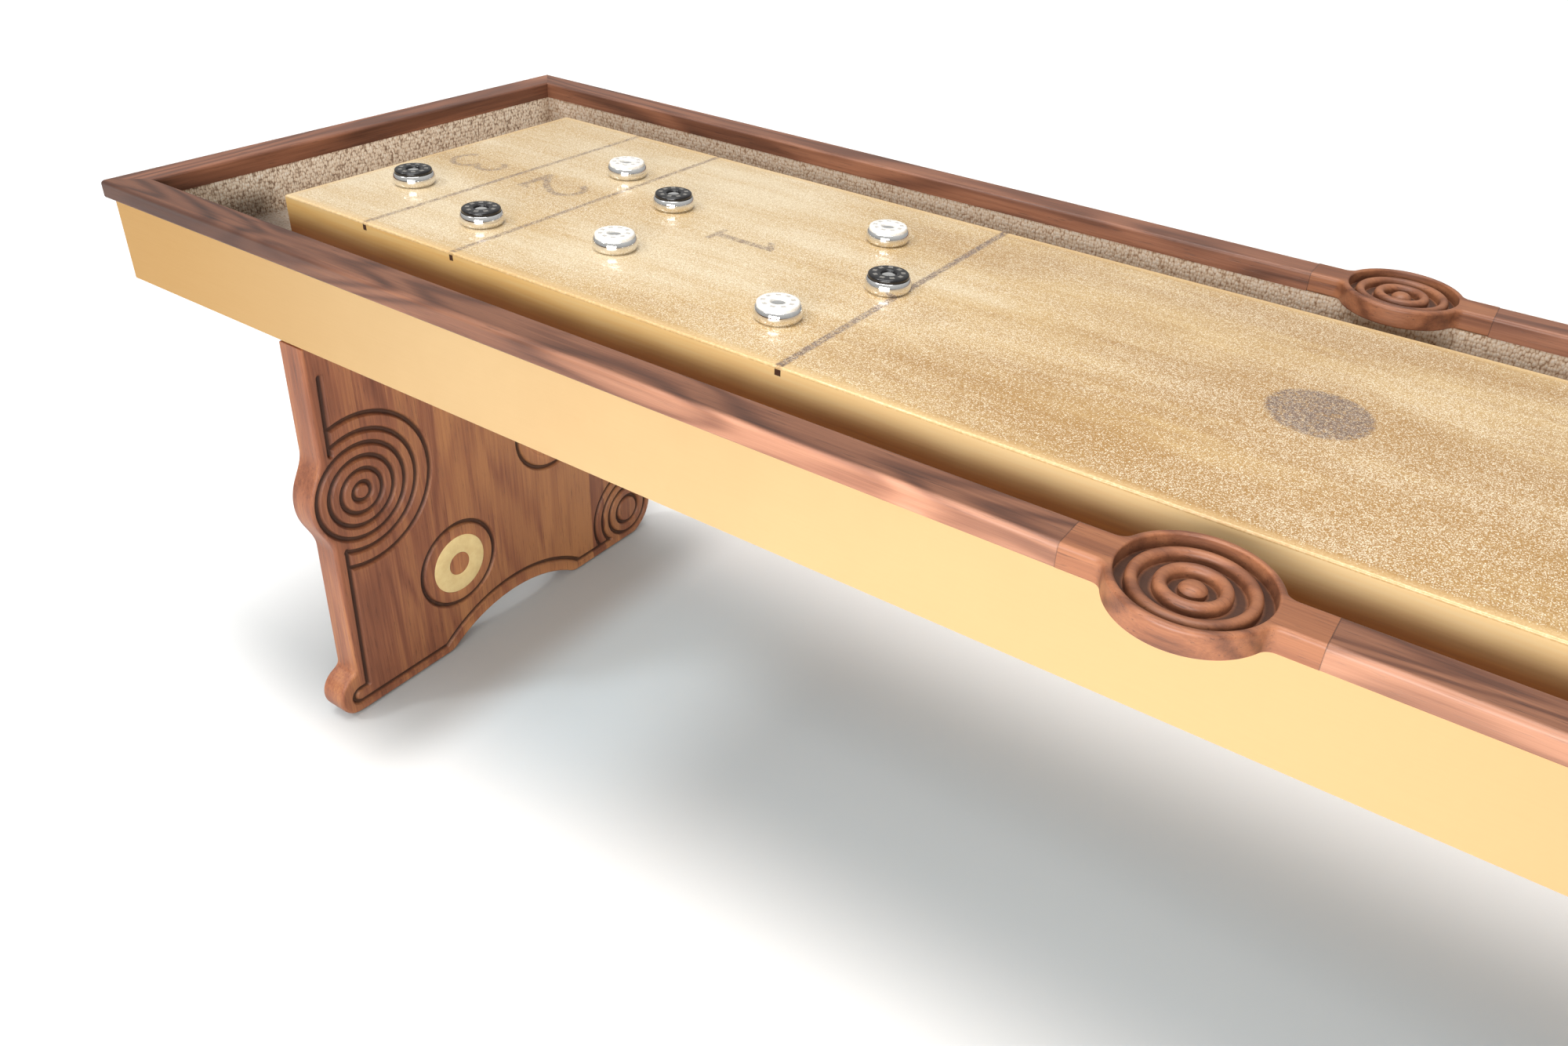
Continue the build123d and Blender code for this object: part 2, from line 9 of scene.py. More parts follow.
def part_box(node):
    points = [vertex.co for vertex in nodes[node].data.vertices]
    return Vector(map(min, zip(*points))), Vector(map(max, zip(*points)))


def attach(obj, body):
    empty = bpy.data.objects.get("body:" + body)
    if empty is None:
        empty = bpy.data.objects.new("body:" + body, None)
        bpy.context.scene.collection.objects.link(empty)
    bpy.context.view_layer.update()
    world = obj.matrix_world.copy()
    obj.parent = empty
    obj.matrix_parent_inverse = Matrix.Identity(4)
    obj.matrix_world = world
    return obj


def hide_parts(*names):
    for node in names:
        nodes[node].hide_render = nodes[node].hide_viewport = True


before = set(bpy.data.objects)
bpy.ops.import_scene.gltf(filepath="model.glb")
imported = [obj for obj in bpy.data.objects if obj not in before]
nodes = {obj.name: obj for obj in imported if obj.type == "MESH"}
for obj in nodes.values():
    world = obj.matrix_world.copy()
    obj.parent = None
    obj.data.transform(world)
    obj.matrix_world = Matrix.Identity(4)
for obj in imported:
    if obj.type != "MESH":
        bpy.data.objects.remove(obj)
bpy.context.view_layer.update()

# ---------------------------------------------------------------------------
# Sizes of the table, metres, as in the CAD
# ---------------------------------------------------------------------------
HL, HW = 1.420, 0.389
PLAY_TOP = 0.795
RAIL_TOP, RAIL_T, RAIL_W = 0.8082, 0.0237, 0.0434
RAIL_BOT = RAIL_TOP - RAIL_T
IN_X, IN_Y = HL - RAIL_W, HW - RAIL_W
PX, PY = 1.245, 0.254
SLAB_TOP = 0.7918
SLAB_BOT = 0.7318
CIX, CIY = 1.3828, 0.3518
LIX, LIY = 1.3788, 0.3478
CARPET_TOP = 0.723
LEG_MID, LEG_T, LEG_TOP = 1.2075, 0.045, 0.617
DISC_Y = 0.367
SEAM_X = 0.104
MARK_Z = PLAY_TOP + 0.00003


# ---------------------------------------------------------------------------
# Node graph helper
# ---------------------------------------------------------------------------
class Graph:
    def __init__(self, name):
        self.mat = bpy.data.materials.new(name)
        self.mat.use_nodes = True
        self.nt = self.mat.node_tree
        self.nt.nodes.clear()
        self.out = self.nt.nodes.new("ShaderNodeOutputMaterial")
        self.bsdf = self.nt.nodes.new("ShaderNodeBsdfPrincipled")
        self.nt.links.new(self.bsdf.outputs[0], self.out.inputs[0])
        self.tex = self.nt.nodes.new("ShaderNodeTexCoord")

    def put(self, socket, value):
        """Value or another node's socket into an input."""
        if isinstance(value, bpy.types.NodeSocket):
            self.nt.links.new(value, socket)
        elif isinstance(value, (tuple, list)) and socket.type == "RGBA" and len(value) == 3:
            socket.default_value = (*value, 1.0)
        else:
            socket.default_value = value

    def set(self, **kw):
        for k, v in kw.items():
            self.put(self.bsdf.inputs[k.replace("_", " ")], v)

    def coords(self, scale=(1, 1, 1), loc=(0, 0, 0), rot=(0, 0, 0)):
        m = self.nt.nodes.new("ShaderNodeMapping")
        self.put(m.inputs["Vector"], self.tex.outputs["Object"])
        m.inputs["Scale"].default_value = scale
        m.inputs["Location"].default_value = loc
        m.inputs["Rotation"].default_value = rot
        return m.outputs[0]

    def noise(self, vec, scale, detail=2.0, rough=0.5, distortion=0.0, colour=False):
        n = self.nt.nodes.new("ShaderNodeTexNoise")
        self.put(n.inputs["Vector"], vec)
        n.inputs["Scale"].default_value = scale
        n.inputs["Detail"].default_value = detail
        n.inputs["Roughness"].default_value = rough
        n.inputs["Distortion"].default_value = distortion
        return n.outputs["Color" if colour else "Fac"]

    def voronoi(self, vec, scale, feature="F1", out="Distance", random=1.0):
        n = self.nt.nodes.new("ShaderNodeTexVoronoi")
        n.feature = feature
        self.put(n.inputs["Vector"], vec)
        n.inputs["Scale"].default_value = scale
        if "Randomness" in n.inputs:
            n.inputs["Randomness"].default_value = random
        return n.outputs[out]

    def math(self, op, a, b=0.0, c=None, clamp=False):
        n = self.nt.nodes.new("ShaderNodeMath")
        n.operation = op
        n.use_clamp = clamp
        self.put(n.inputs[0], a)
        self.put(n.inputs[1], b)
        if c is not None:
            self.put(n.inputs[2], c)
        return n.outputs[0]

    def axis(self, vec, which):
        n = self.nt.nodes.new("ShaderNodeSeparateXYZ")
        self.put(n.inputs[0], vec)
        return n.outputs["XYZ".index(which)]

    def vadd(self, a, b, scale=1.0):
        s = self.nt.nodes.new("ShaderNodeVectorMath")
        s.operation = "MULTIPLY_ADD"
        self.put(s.inputs[0], b)
        s.inputs[1].default_value = (scale,) * 3
        self.put(s.inputs[2], a)
        return s.outputs[0]

    def range(self, x, a0, a1, b0=0.0, b1=1.0, smooth=False):
        n = self.nt.nodes.new("ShaderNodeMapRange")
        n.interpolation_type = "SMOOTHSTEP" if smooth else "LINEAR"
        self.put(n.inputs["Value"], x)
        n.inputs["From Min"].default_value = a0
        n.inputs["From Max"].default_value = a1
        n.inputs["To Min"].default_value = b0
        n.inputs["To Max"].default_value = b1
        return n.outputs[0]

    def ramp(self, fac, stops, mode="LINEAR"):
        n = self.nt.nodes.new("ShaderNodeValToRGB")
        n.color_ramp.interpolation = mode
        e = n.color_ramp.elements
        while len(e) > 1:
            e.remove(e[-1])
        e[0].position = stops[0][0]
        e[0].color = (*stops[0][1], 1)
        for p, c in stops[1:]:
            s = e.new(p)
            s.color = (*c, 1)
        self.put(n.inputs[0], fac)
        return n.outputs[0]

    def mix(self, fac, a, b, blend="MIX"):
        n = self.nt.nodes.new("ShaderNodeMix")
        n.data_type = "RGBA"
        n.blend_type = blend
        self.put(n.inputs[0], fac)
        self.put(n.inputs[6], a)
        self.put(n.inputs[7], b)
        return n.outputs[2]

    def attr(self, name):
        n = self.nt.nodes.new("ShaderNodeAttribute")
        n.attribute_name = name
        return n.outputs["Fac"]

    def bump(self, height, strength=0.3, distance=0.0005, normal=None):
        n = self.nt.nodes.new("ShaderNodeBump")
        n.inputs["Strength"].default_value = strength
        n.inputs["Distance"].default_value = distance
        self.put(n.inputs["Height"], height)
        if normal is not None:
            self.put(n.inputs["Normal"], normal)
        return n.outputs[0]


def lin(r, g, b):
    """sRGB 0-255 to linear."""
    def f(c):
        c /= 255.0
        return c / 12.92 if c <= 0.04045 else ((c + 0.055) / 1.055) ** 2.4
    return (f(r), f(g), f(b))


# ---------------------------------------------------------------------------
# Materials
# ---------------------------------------------------------------------------
def walnut(name, grain, dark, mid, light, seed=0.0, figure=12.0, rough=0.42,
           boards=None, with_shade_and_grime=False, spec=0.4, streak=0.4, coat=0.0,
           turned=False, fine=0.8, bend=0.10, deep=0.30, seam=False,
           edge_highlight_and_shade=False):
    """Oiled walnut: growth rings, fibre, open pores, and streaks of dark
    heartwood along the grain axis. boards = [(limit, tone), ...] glue-line
    positions along Y for glued-up slabs."""
    g = Graph(name)

    def stretched(along):
        s = [1.0, 1.0, 1.0]
        s["XYZ".index(grain)] = along
        return tuple(s)

    off = (seed * 1.37, seed * 0.71, seed * 2.13)
    tone_shift = None
    base_vec = g.coords(stretched(1.0), off)
    if boards:
        # each board is cut from another place of the log
        y = g.axis(g.coords(), "Y")
        shift = None
        for lim, tone, jump in boards:
            step = g.math("GREATER_THAN", y, lim)
            term = g.math("MULTIPLY", step, jump)
            shift = term if shift is None else g.math("ADD", shift, term)
            t2 = g.math("MULTIPLY", step, tone)
            tone_shift = t2 if tone_shift is None else g.math("ADD", tone_shift, t2)
        comb = g.nt.nodes.new("ShaderNodeCombineXYZ")
        for i in range(3):
            g.put(comb.inputs[i], g.math("MULTIPLY", shift, (1.0, 0.37, 2.9)[i]))
        base_vec = g.vadd(base_vec, comb.outputs[0])

    def sc(along, loc=(0, 0, 0)):
        m = g.nt.nodes.new("ShaderNodeMapping")
        g.put(m.inputs["Vector"], base_vec)
        m.inputs["Scale"].default_value = stretched(along)
        m.inputs["Location"].default_value = loc
        return m.outputs[0]

    broad = g.noise(sc(0.16), 7.0, 2.0, 0.45)
    rings = g.noise(sc(bend, (3.1, 1.7, 0.4)), 9.0, 2.5, 0.42, 0.25)
    wave = g.math("SINE", g.math("MULTIPLY", rings, figure * 6.2832))
    wave = g.range(wave, -1.0, 1.0)
    wave = g.math("POWER", wave, 1.6)
    fibre = g.noise(sc(0.025, (0.3, 2.2, 1.4)), 260.0, 3.0, 0.65)
    hair = g.noise(sc(0.012, (1.3, 0.2, 4.4)), 900.0, 2.0, 0.6)
    pores = g.range(g.noise(sc(0.05, (5.3, 3.2, 2.4)), 520.0, 2.0, 0.75),
                    0.60, 0.70, smooth=True)
    fac = g.math("MULTIPLY_ADD", wave, -deep, 0.47 + deep / 2)
    fac = g.math("ADD", fac, g.range(fibre, 0.25, 0.75, -0.20 * fine, 0.20 * fine))
    fac = g.math("ADD", fac, g.range(hair, 0.25, 0.75, -0.10 * fine, 0.10 * fine))
    fac = g.math("ADD", fac, g.range(broad, 0.3, 0.7, -0.20, 0.20))
    if tone_shift is not None:
        fac = g.math("ADD", fac, tone_shift)
    colour = g.ramp(fac, [(0.0, dark), (0.5, mid), (1.0, light)])
    # dark heartwood streaks
    dk = g.noise(sc(0.055, (7.7, 9.2, 4.1)), 16.0, 3.0, 0.55, 0.6)
    dk = g.range(dk, 0.60, 0.74, 0.0, streak, smooth=True)
    colour = g.mix(dk, colour, tuple(c * 0.55 for c in dark))
    colour = g.mix(g.math("MULTIPLY", pores, 0.42), colour,
                   tuple(c * 0.4 for c in dark))
    r = g.range(fibre, 0.2, 0.8, rough - 0.07, rough + 0.10)
    height = g.math("MULTIPLY_ADD", pores, -1.0, g.math("MULTIPLY", fibre, 0.4))
    if turned:
        # painted shade: darker in the bottoms of the gaps between the rings turned in the two
        # discs
        x = g.axis(g.coords(), "X")
        y = g.math("SUBTRACT", g.math("ABSOLUTE", g.axis(g.coords(), "Y")), DISC_Y)
        rad = g.math("SQRT", g.math("ADD", g.math("MULTIPLY", x, x),
                                    g.math("MULTIPLY", y, y)))
        b = None
        for mid, half in ((0.0573, 0.0056), (0.0365, 0.0060), (0.0157, 0.0048)):
            q = g.math("ABSOLUTE", g.math("SUBTRACT", rad, mid))
            q = g.range(q, half, half * 0.35, 0.0, 1.0, smooth=True)
            b = q if b is None else g.math("MAXIMUM", b, q)
        b = g.math("MULTIPLY", b, g.range(g.axis(g.coords(), "Z"), RAIL_TOP - 0.001,
                                          RAIL_TOP - 0.004, 0.0, 1.0, smooth=True))
        colour = g.mix(g.math("MULTIPLY", b, 0.80), colour, lin(44, 25, 17))
        r = g.math("MULTIPLY_ADD", b, 0.2, r)
    if seam:
        # glue line between the long rail and its centre block
        q = g.math("SUBTRACT", g.math("ABSOLUTE", g.axis(g.coords(), "X")), SEAM_X)
        q = g.range(g.math("ABSOLUTE", q), 0.0007, 0.0002, 0.0, 0.60, smooth=True)
        colour = g.mix(q, colour, lin(40, 22, 15))
    if edge_highlight_and_shade:
        # painted highlight along the outer edge, brightest beside the centre block
        q = g.range(g.axis(g.coords(), "Y"), -HW + 0.0075, -HW + 0.0010, 0.0, 1.0,
                    smooth=True)
        q = g.math("MULTIPLY", q, g.range(g.axis(g.coords(), "X"), -0.80, -0.25, 0.06, 0.60,
                                          smooth=True))
        q = g.math("MULTIPLY", q, g.range(g.axis(g.coords(), "X"), -0.26, -0.10, 1.0, 0.42,
                                          smooth=True))
        edge_highlight = g.ramp(fac, [(0.0, lin(146, 92, 68)), (0.5, lin(190, 134, 104)),
                           (1.0, lin(220, 164, 132))])
        colour = g.mix(q, colour, edge_highlight)
        # painted shade on the outer edge towards the -X end
        q = g.range(g.axis(g.coords(), "Y"), -HW + 0.0060, -HW + 0.0010, 0.0, 1.0,
                    smooth=True)
        q = g.math("MULTIPLY", q, g.range(g.axis(g.coords(), "X"), -0.86, -1.16, 0.0, 0.74,
                                          smooth=True))
        colour = g.mix(q, colour, lin(58, 30, 18))
    if with_shade_and_grime:
        # painted shade in the grooves and recesses of the carving, partly grime around the
        # grooves
        b = g.attr("shade_and_grime")
        colour = g.mix(g.math("MULTIPLY", b, 0.9), colour, lin(44, 24, 14))
        r = g.math("MULTIPLY_ADD", b, 0.25, r)
    g.set(Base_Color=colour, Roughness=r, Normal=g.bump(height, 0.35, 0.0004))
    g.bsdf.inputs["Specular IOR Level"].default_value = spec
    if coat:
        g.bsdf.inputs["Coat Weight"].default_value = coat
        g.bsdf.inputs["Coat Roughness"].default_value = 0.27
    return g.mat


def shade_of(k, *colours):
    return [tuple(min(1.0, c * k) for c in col) for col in colours]


RAIL = (lin(60, 35, 25), lin(107, 67, 48), lin(147, 99, 73))
# painted light and shade: the same walnut at three brightnesses, darker on the near rail,
# lighter on the far rail, lightest on the end rails
m_rail_front = walnut("walnut_rail_front", "X", *shade_of(0.84, *RAIL), 1.0,
                      rough=0.46, figure=13.0, deep=0.42, streak=0.45, coat=0.06, bend=0.17,
                      seam=True, edge_highlight_and_shade=True)
m_rail_back = walnut("walnut_rail_back", "X", *shade_of(1.18, *RAIL), 5.0,
                     rough=0.44, figure=11.0, deep=0.36, streak=0.42, coat=0.08, bend=0.16,
                     seam=True)
m_rail_y = walnut("walnut_rail_end", "Y", *shade_of(1.40, *RAIL), 9.0,
                  rough=0.42, figure=11.0, deep=0.34, streak=0.36, coat=0.12, bend=0.14)
m_rosette = walnut("walnut_rosette", "X", lin(80, 45, 29), lin(126, 78, 52),
                   lin(158, 104, 70), 13.0, figure=9.0, deep=0.40, streak=0.40, bend=0.16,
                   rough=0.46, turned=True, coat=0.05, seam=True)
LEG_DARK, LEG_MID_C, LEG_LIGHT = lin(94, 50, 33), lin(144, 88, 60), lin(184, 126, 80)
# glue lines along Y: (position, change of tone, jump to another board)
BOARDS = [(-0.246, 0.02, 1.3), (-0.196, 0.06, 2.1), (-0.12, 0.10, 0.7),
          (-0.03, 0.05, 1.9), (0.075, 0.08, 1.1), (0.145, 0.14, 2.7),
          (0.192, -0.44, 0.9), (0.226, 0.26, 1.6), (0.262, -0.10, 1.7)]
m_leg = walnut("walnut_leg", "Z", LEG_DARK, LEG_MID_C, LEG_LIGHT, 17.0,
               boards=BOARDS, with_shade_and_grime=True, fine=1.0, figure=7.0, bend=0.2,
               streak=0.20, deep=0.24)
m_cleat = walnut("walnut_cleat", "Y", LEG_DARK, LEG_MID_C, LEG_LIGHT, 23.0)


def brass_sheet():
    g = Graph("brass_satin")
    v = g.coords()
    cloud = g.noise(v, 5.0, 4.0, 0.55)
    spots = g.noise(g.coords((1, 1, 1), (4, 2, 7)), 38.0, 5.0, 0.6)
    brush = g.noise(g.coords((0.02, 1, 1)), 900.0, 2.0, 0.5)
    c = g.ramp(cloud, [(0.3, lin(216, 181, 132)), (0.7, lin(222, 189, 140))])
    c = g.mix(g.range(spots, 0.62, 0.78, 0.0, 0.10), c, lin(208, 168, 112))
    # painted shade: darker and warmer towards the -X end of the long panels
    x = g.axis(g.coords(), "X")
    c = g.mix(g.range(x, -0.75, -1.45, 0.0, 1.0, smooth=True), c, lin(202, 157, 92))
    # painted shade: a little darker towards +X
    c = g.mix(g.range(x, -0.85, 0.30, 0.0, 1.0, smooth=True), c, lin(206, 164, 118))
    r = g.math("ADD", g.range(cloud, 0.3, 0.7, 0.36, 0.42),
               g.range(brush, 0.3, 0.7, -0.03, 0.03))
    g.set(Base_Color=c, Metallic=1.0, Roughness=r,
          Normal=g.bump(brush, 0.05, 0.0002))
    return g.mat


def brass_ring():
    g = Graph("brass_inlay")
    v = g.coords()
    brush = g.noise(g.coords((1, 0.05, 1)), 700.0, 3.0, 0.6)
    wear = g.noise(v, 60.0, 4.0, 0.65)
    c = g.ramp(wear, [(0.3, lin(240, 210, 148)), (0.7, lin(252, 228, 168))])
    r = g.math("ADD", g.range(wear, 0.3, 0.7, 0.40, 0.50),
               g.range(brush, 0.3, 0.7, -0.06, 0.06))
    g.set(Base_Color=c, Metallic=0.5, Roughness=r,
          Normal=g.bump(brush, 0.12, 0.0002))
    return g.mat


def maple_side():
    g = Graph("maple_laminated")
    vec = g.coords((0.12, 1, 1), (2, 5, 1))
    fig = g.noise(vec, 14.0, 3.0, 0.5, 0.4)
    wave = g.math("SINE", g.math("MULTIPLY", fig, 60.0))
    fib = g.noise(g.coords((0.03, 1, 1)), 300.0, 3.0, 0.6)
    # staves glued across the width
    y = g.axis(g.coords(), "Y")
    st = g.math("FRACT", g.math("MULTIPLY", y, 1 / 0.0423))
    joint = g.math("LESS_THAN", g.math("MINIMUM", st, g.math("SUBTRACT", 1.0, st)), 0.008)
    fac = g.math("ADD", g.range(wave, -1, 1, 0.40, 0.60),
                 g.range(fib, 0.25, 0.75, -0.25, 0.25))
    # the clear finish has run down over the top of the edge, pale there; below it painted
    # shade, darker amber towards the bottom where the gutter shades the side
    z = g.axis(g.coords(), "Z")
    drip = g.noise(g.coords((0.3, 1, 0.3)), 30.0, 2.0)
    z = g.math("ADD", z, g.range(drip, 0.3, 0.7, -0.002, 0.002))
    down = g.range(z, SLAB_TOP - 0.042, SLAB_TOP - 0.006, 0.0, 1.0, smooth=True)
    up = g.ramp(fac, [(0.0, lin(252, 196, 112)), (0.5, lin(255, 214, 138)),
                      (1.0, lin(255, 228, 168))])
    low = g.ramp(fac, [(0.0, lin(116, 58, 10)), (0.5, lin(142, 78, 16)),
                       (1.0, lin(166, 98, 26))])
    x = g.math("ABSOLUTE", g.axis(g.coords(), "X"))
    up = g.mix(g.range(x, 0.95, 0.10, 0.0, 0.50, smooth=True), up, lin(255, 232, 190))
    c = g.mix(down, low, up)
    c = g.mix(g.math("MULTIPLY", joint, 0.4), c, lin(120, 80, 46))
    g.set(Base_Color=c, Roughness=g.range(fib, 0.2, 0.8, 0.30, 0.42),
          Normal=g.bump(fib, 0.15, 0.0003))
    g.bsdf.inputs["Specular IOR Level"].default_value = 0.35
    g.bsdf.inputs["Coat Weight"].default_value = 0.25
    g.bsdf.inputs["Coat Roughness"].default_value = 0.18
    return g.mat


def grains(g):
    """Fine dry grains lying on the finish: pale ones and golden ones."""
    d1 = g.noise(g.coords(), 720.0, 2.0, 0.6)
    d2 = g.noise(g.coords((1, 1, 1), (7, 7, 7)), 860.0, 2.0, 0.6)
    many = g.noise(g.coords((0.35, 1, 1), (2, 8, 3)), 9.0, 4.0, 0.6)
    lift = g.range(many, 0.3, 0.7, -0.05, 0.05)
    # the rounded edge of the finish is wiped clean
    ey = g.range(g.math("ABSOLUTE", g.axis(g.coords(), "Y")), PY - 0.016, PY - 0.003)
    ex = g.range(g.math("ABSOLUTE", g.axis(g.coords(), "X")), PX - 0.012, PX - 0.003)
    lift = g.math("MULTIPLY_ADD", g.math("MAXIMUM", ex, ey, clamp=True), -0.22, lift)
    pale = g.range(g.math("ADD", d1, lift), 0.52, 0.62, 0.0, 0.70, smooth=True)
    dark = g.range(g.math("ADD", d2, g.math("MULTIPLY", lift, 0.5)), 0.53, 0.66,
                   smooth=True)
    # loose single grains
    cell = g.coords((1, 1, 1), (3, 1, 2))
    dot = g.range(g.voronoi(cell, 560.0), 0.42, 0.26, smooth=True)
    pick = g.axis(g.voronoi(cell, 560.0, out="Color"), "X")
    pick = g.range(g.math("ADD", pick, g.math("MULTIPLY", lift, 3.0)), 0.48, 0.56)
    pale = g.math("MAXIMUM", pale, g.math("MULTIPLY", dot, pick), clamp=True)
    return d1, pale, dark


def field_base(g):
    vec = g.coords((0.10, 1, 1), (1, 3, 2))
    fig = g.noise(vec, 9.0, 3.0, 0.5, 0.3)
    fib = g.noise(g.coords((0.05, 1, 1)), 120.0, 3.0, 0.6)
    cloud = g.noise(g.coords((0.28, 1, 1), (9, 1, 4)), 8.0, 4.0, 0.6)
    wood = g.math("ADD", g.range(fig, 0.3, 0.7, -0.14, 0.14),
                  g.range(fib, 0.3, 0.7, -0.12, 0.12))
    wood = g.math("ADD", wood, g.range(cloud, 0.3, 0.7, 0.04, 0.96))
    # darker and more amber towards the middle of the table
    x = g.math("ABSOLUTE", g.axis(g.coords(), "X"))
    wood = g.math("ADD", wood, g.range(x, 0.0, 0.75, -0.50, 0.20))
    wood = g.ramp(wood, [(0.0, lin(156, 116, 55)), (0.5, lin(187, 154, 99)),
                         (1.0, lin(210, 190, 154))])
    # painted highlight: a pale band along the rounded lip of the finish
    ey = g.range(g.math("ABSOLUTE", g.axis(g.coords(), "Y")), PY - 0.016, PY - 0.004,
                 smooth=True)
    ex = g.range(g.math("ABSOLUTE", g.axis(g.coords(), "X")), PX - 0.012, PX - 0.003,
                 smooth=True)
    rim = g.math("MAXIMUM", ex, ey, clamp=True)
    return g.mix(g.math("MULTIPLY", rim, 0.5), wood, lin(222, 188, 136))


def finish_on(g, colour, d1, pale, dark, pale_c, dark_c, pf, df):
    heap = g.noise(g.coords((0.8, 1, 1), (4, 4, 6)), 400.0, 3.0, 0.75)
    colour = g.mix(g.range(heap, 0.46, 0.60, 0.0, 0.20, smooth=True), colour,
                   lin(150, 112, 62))
    colour = g.mix(g.range(heap, 0.50, 0.36, 0.0, 0.16, smooth=True), colour,
                   lin(240, 226, 196))
    c = g.mix(g.math("MULTIPLY", pale, pf), colour, pale_c)
    c = g.mix(g.math("MULTIPLY", dark, df), c, dark_c)
    g.set(Base_Color=c, Roughness=g.range(d1, 0.3, 0.7, 0.44, 0.34),
          Normal=g.bump(g.math("ADD", pale, dark), 0.20, 0.0002))
    g.bsdf.inputs["Specular IOR Level"].default_value = 0.40
    g.bsdf.inputs["Coat Weight"].default_value = 0.48
    g.bsdf.inputs["Coat Roughness"].default_value = 0.11


def play_surface():
    """Clear glossy finish over maple, dusted with fine golden grains."""
    g = Graph("playfield_finish")
    base = field_base(g)
    d1, pale, dark = grains(g)
    finish_on(g, base, d1, pale, dark, lin(240, 228, 202), lin(146, 104, 52),
              0.90, 0.66)
    return g.mat


def inlay_under_finish():
    """Walnut line or numeral seen through the dusted finish; the attribute
    `soft` fades it out at its blurred edge."""
    g = Graph("inlay_under_finish")
    base = field_base(g)
    d1, pale, dark = grains(g)
    broad = g.noise(g.coords(), 120.0, 3.0, 0.6)
    ink = g.ramp(broad, [(0.3, lin(82, 58, 48)), (0.7, lin(112, 88, 76))])
    speck = g.noise(g.coords((1, 1, 1), (6, 3, 8)), 300.0, 3.0, 0.7)
    speck = g.range(speck, 0.38, 0.58, 0.25, 1.2, smooth=True)
    veil = g.range(g.math("ABSOLUTE", g.axis(g.coords(), "X")), 0.35, 1.0, 1.0, 0.95)
    soft = g.math("MULTIPLY", g.attr("soft"), g.range(broad, 0.25, 0.6, 0.95, 1.2))
    soft = g.math("MULTIPLY", soft, g.math("MULTIPLY", speck, veil), clamp=True)
    base = g.mix(soft, base, ink)
    pc = g.mix(soft, lin(238, 224, 196), lin(206, 190, 168))
    dc = g.mix(soft, lin(152, 112, 60), lin(76, 56, 44))
    finish_on(g, base, d1, pale, dark, pc, dc, 0.85, 0.60)
    return g.mat


def inlay_wood():
    g = Graph("inlay_walnut")
    f = g.noise(g.coords((1, 0.05, 1)), 400.0, 3.0, 0.6)
    c = g.ramp(f, [(0.3, lin(44, 24, 16)), (0.7, lin(78, 46, 30))])
    g.set(Base_Color=c, Roughness=0.45, Normal=g.bump(f, 0.2, 0.0003))
    return g.mat


def fabric():
    """Nubbly woven loops, oatmeal with brown in the gaps."""
    g = Graph("gutter_boucle")
    wob = g.noise(g.coords((1, 1, 1), (5, 2, 3)), 150.0, 2.0, 0.5, colour=True)
    v = g.vadd(g.coords((1.0, 1.0, 0.62)), wob, 0.0016)
    a = g.voronoi(v, 310.0, random=0.6)
    b = g.noise(g.coords(), 700.0, 3.0, 0.6)
    big = g.noise(g.coords((1, 1, 1), (3, 3, 1)), 24.0, 2.0)
    tone = g.voronoi(v, 310.0, out="Color", random=0.6)
    t = g.axis(tone, "X")
    fac = g.math("ADD", g.range(a, 0.15, 0.75, 1.02, 0.06),
                 g.range(b, 0.3, 0.7, -0.14, 0.14))
    fac = g.math("ADD", fac, g.range(t, 0.0, 1.0, -0.12, 0.12))
    fac = g.math("ADD", fac, g.range(big, 0.3, 0.7, -0.04, 0.04))
    c = g.ramp(fac, [(0.0, lin(138, 112, 90)), (0.35, lin(232, 212, 188)),
                     (0.7, lin(250, 238, 218)), (1.0, lin(254, 248, 236))])
    # the long strips are a shade browner than the end strips
    y = g.math("ABSOLUTE", g.axis(g.coords(), "Y"))
    c = g.mix(g.range(y, PY + 0.07, PY + 0.10, 0.0, 0.60), c, lin(150, 116, 84))
    # painted shade: the gutter floor and the foot of the walls darker and browner
    z = g.axis(g.coords(), "Z")
    c = g.mix(g.range(z, CARPET_TOP + 0.008, CARPET_TOP + 0.0012, 0.0, 0.62, smooth=True),
              c, lin(120, 92, 66))
    # painted shadow: darker low on the walls and on the floor in the near left corner
    q = g.range(z, 0.772, 0.736, 0.0, 0.72, smooth=True)
    q = g.math("MULTIPLY", q, g.range(g.axis(g.coords(), "Y"), -0.165, -0.215, smooth=True))
    q = g.math("MULTIPLY", q, g.range(g.axis(g.coords(), "X"), -1.24, -1.33, smooth=True))
    c = g.mix(q, c, lin(62, 42, 24))
    hgt = g.math("ADD", g.math("MULTIPLY", a, -1.0), g.math("MULTIPLY", b, 0.25))
    g.set(Base_Color=c, Roughness=0.9, Normal=g.bump(hgt, 0.85, 0.0016))
    g.bsdf.inputs["Specular IOR Level"].default_value = 0.15
    g.bsdf.inputs["Sheen Weight"].default_value = 0.3
    g.bsdf.inputs["Sheen Roughness"].default_value = 0.5
    return g.mat


def chrome():
    g = Graph("polished_chrome")
    n = g.noise(g.coords(), 240.0, 4.0, 0.7)
    c = g.ramp(n, [(0.3, (0.78, 0.77, 0.75)), (0.7, (0.88, 0.87, 0.85))])
    g.set(Base_Color=c, Metallic=1.0, Roughness=g.range(n, 0.3, 0.7, 0.04, 0.09))
    return g.mat


def cap(name, base, marks, rough, swirl=0.8, pressed=None):
    g = Graph(name)
    n = g.noise(g.coords(), 160.0, 5.0, 0.7, swirl)
    c = g.ramp(n, [(0.25, base), (0.75, marks)])
    c = g.mix(g.math("MULTIPLY", g.attr("mark"), 0.85), c, pressed)
    g.set(Base_Color=c, Roughness=g.range(n, 0.3, 0.7, rough, rough + 0.12),
          Normal=g.bump(n, 0.12, 0.0003))
    g.bsdf.inputs["Specular IOR Level"].default_value = 0.5
    return g.mat


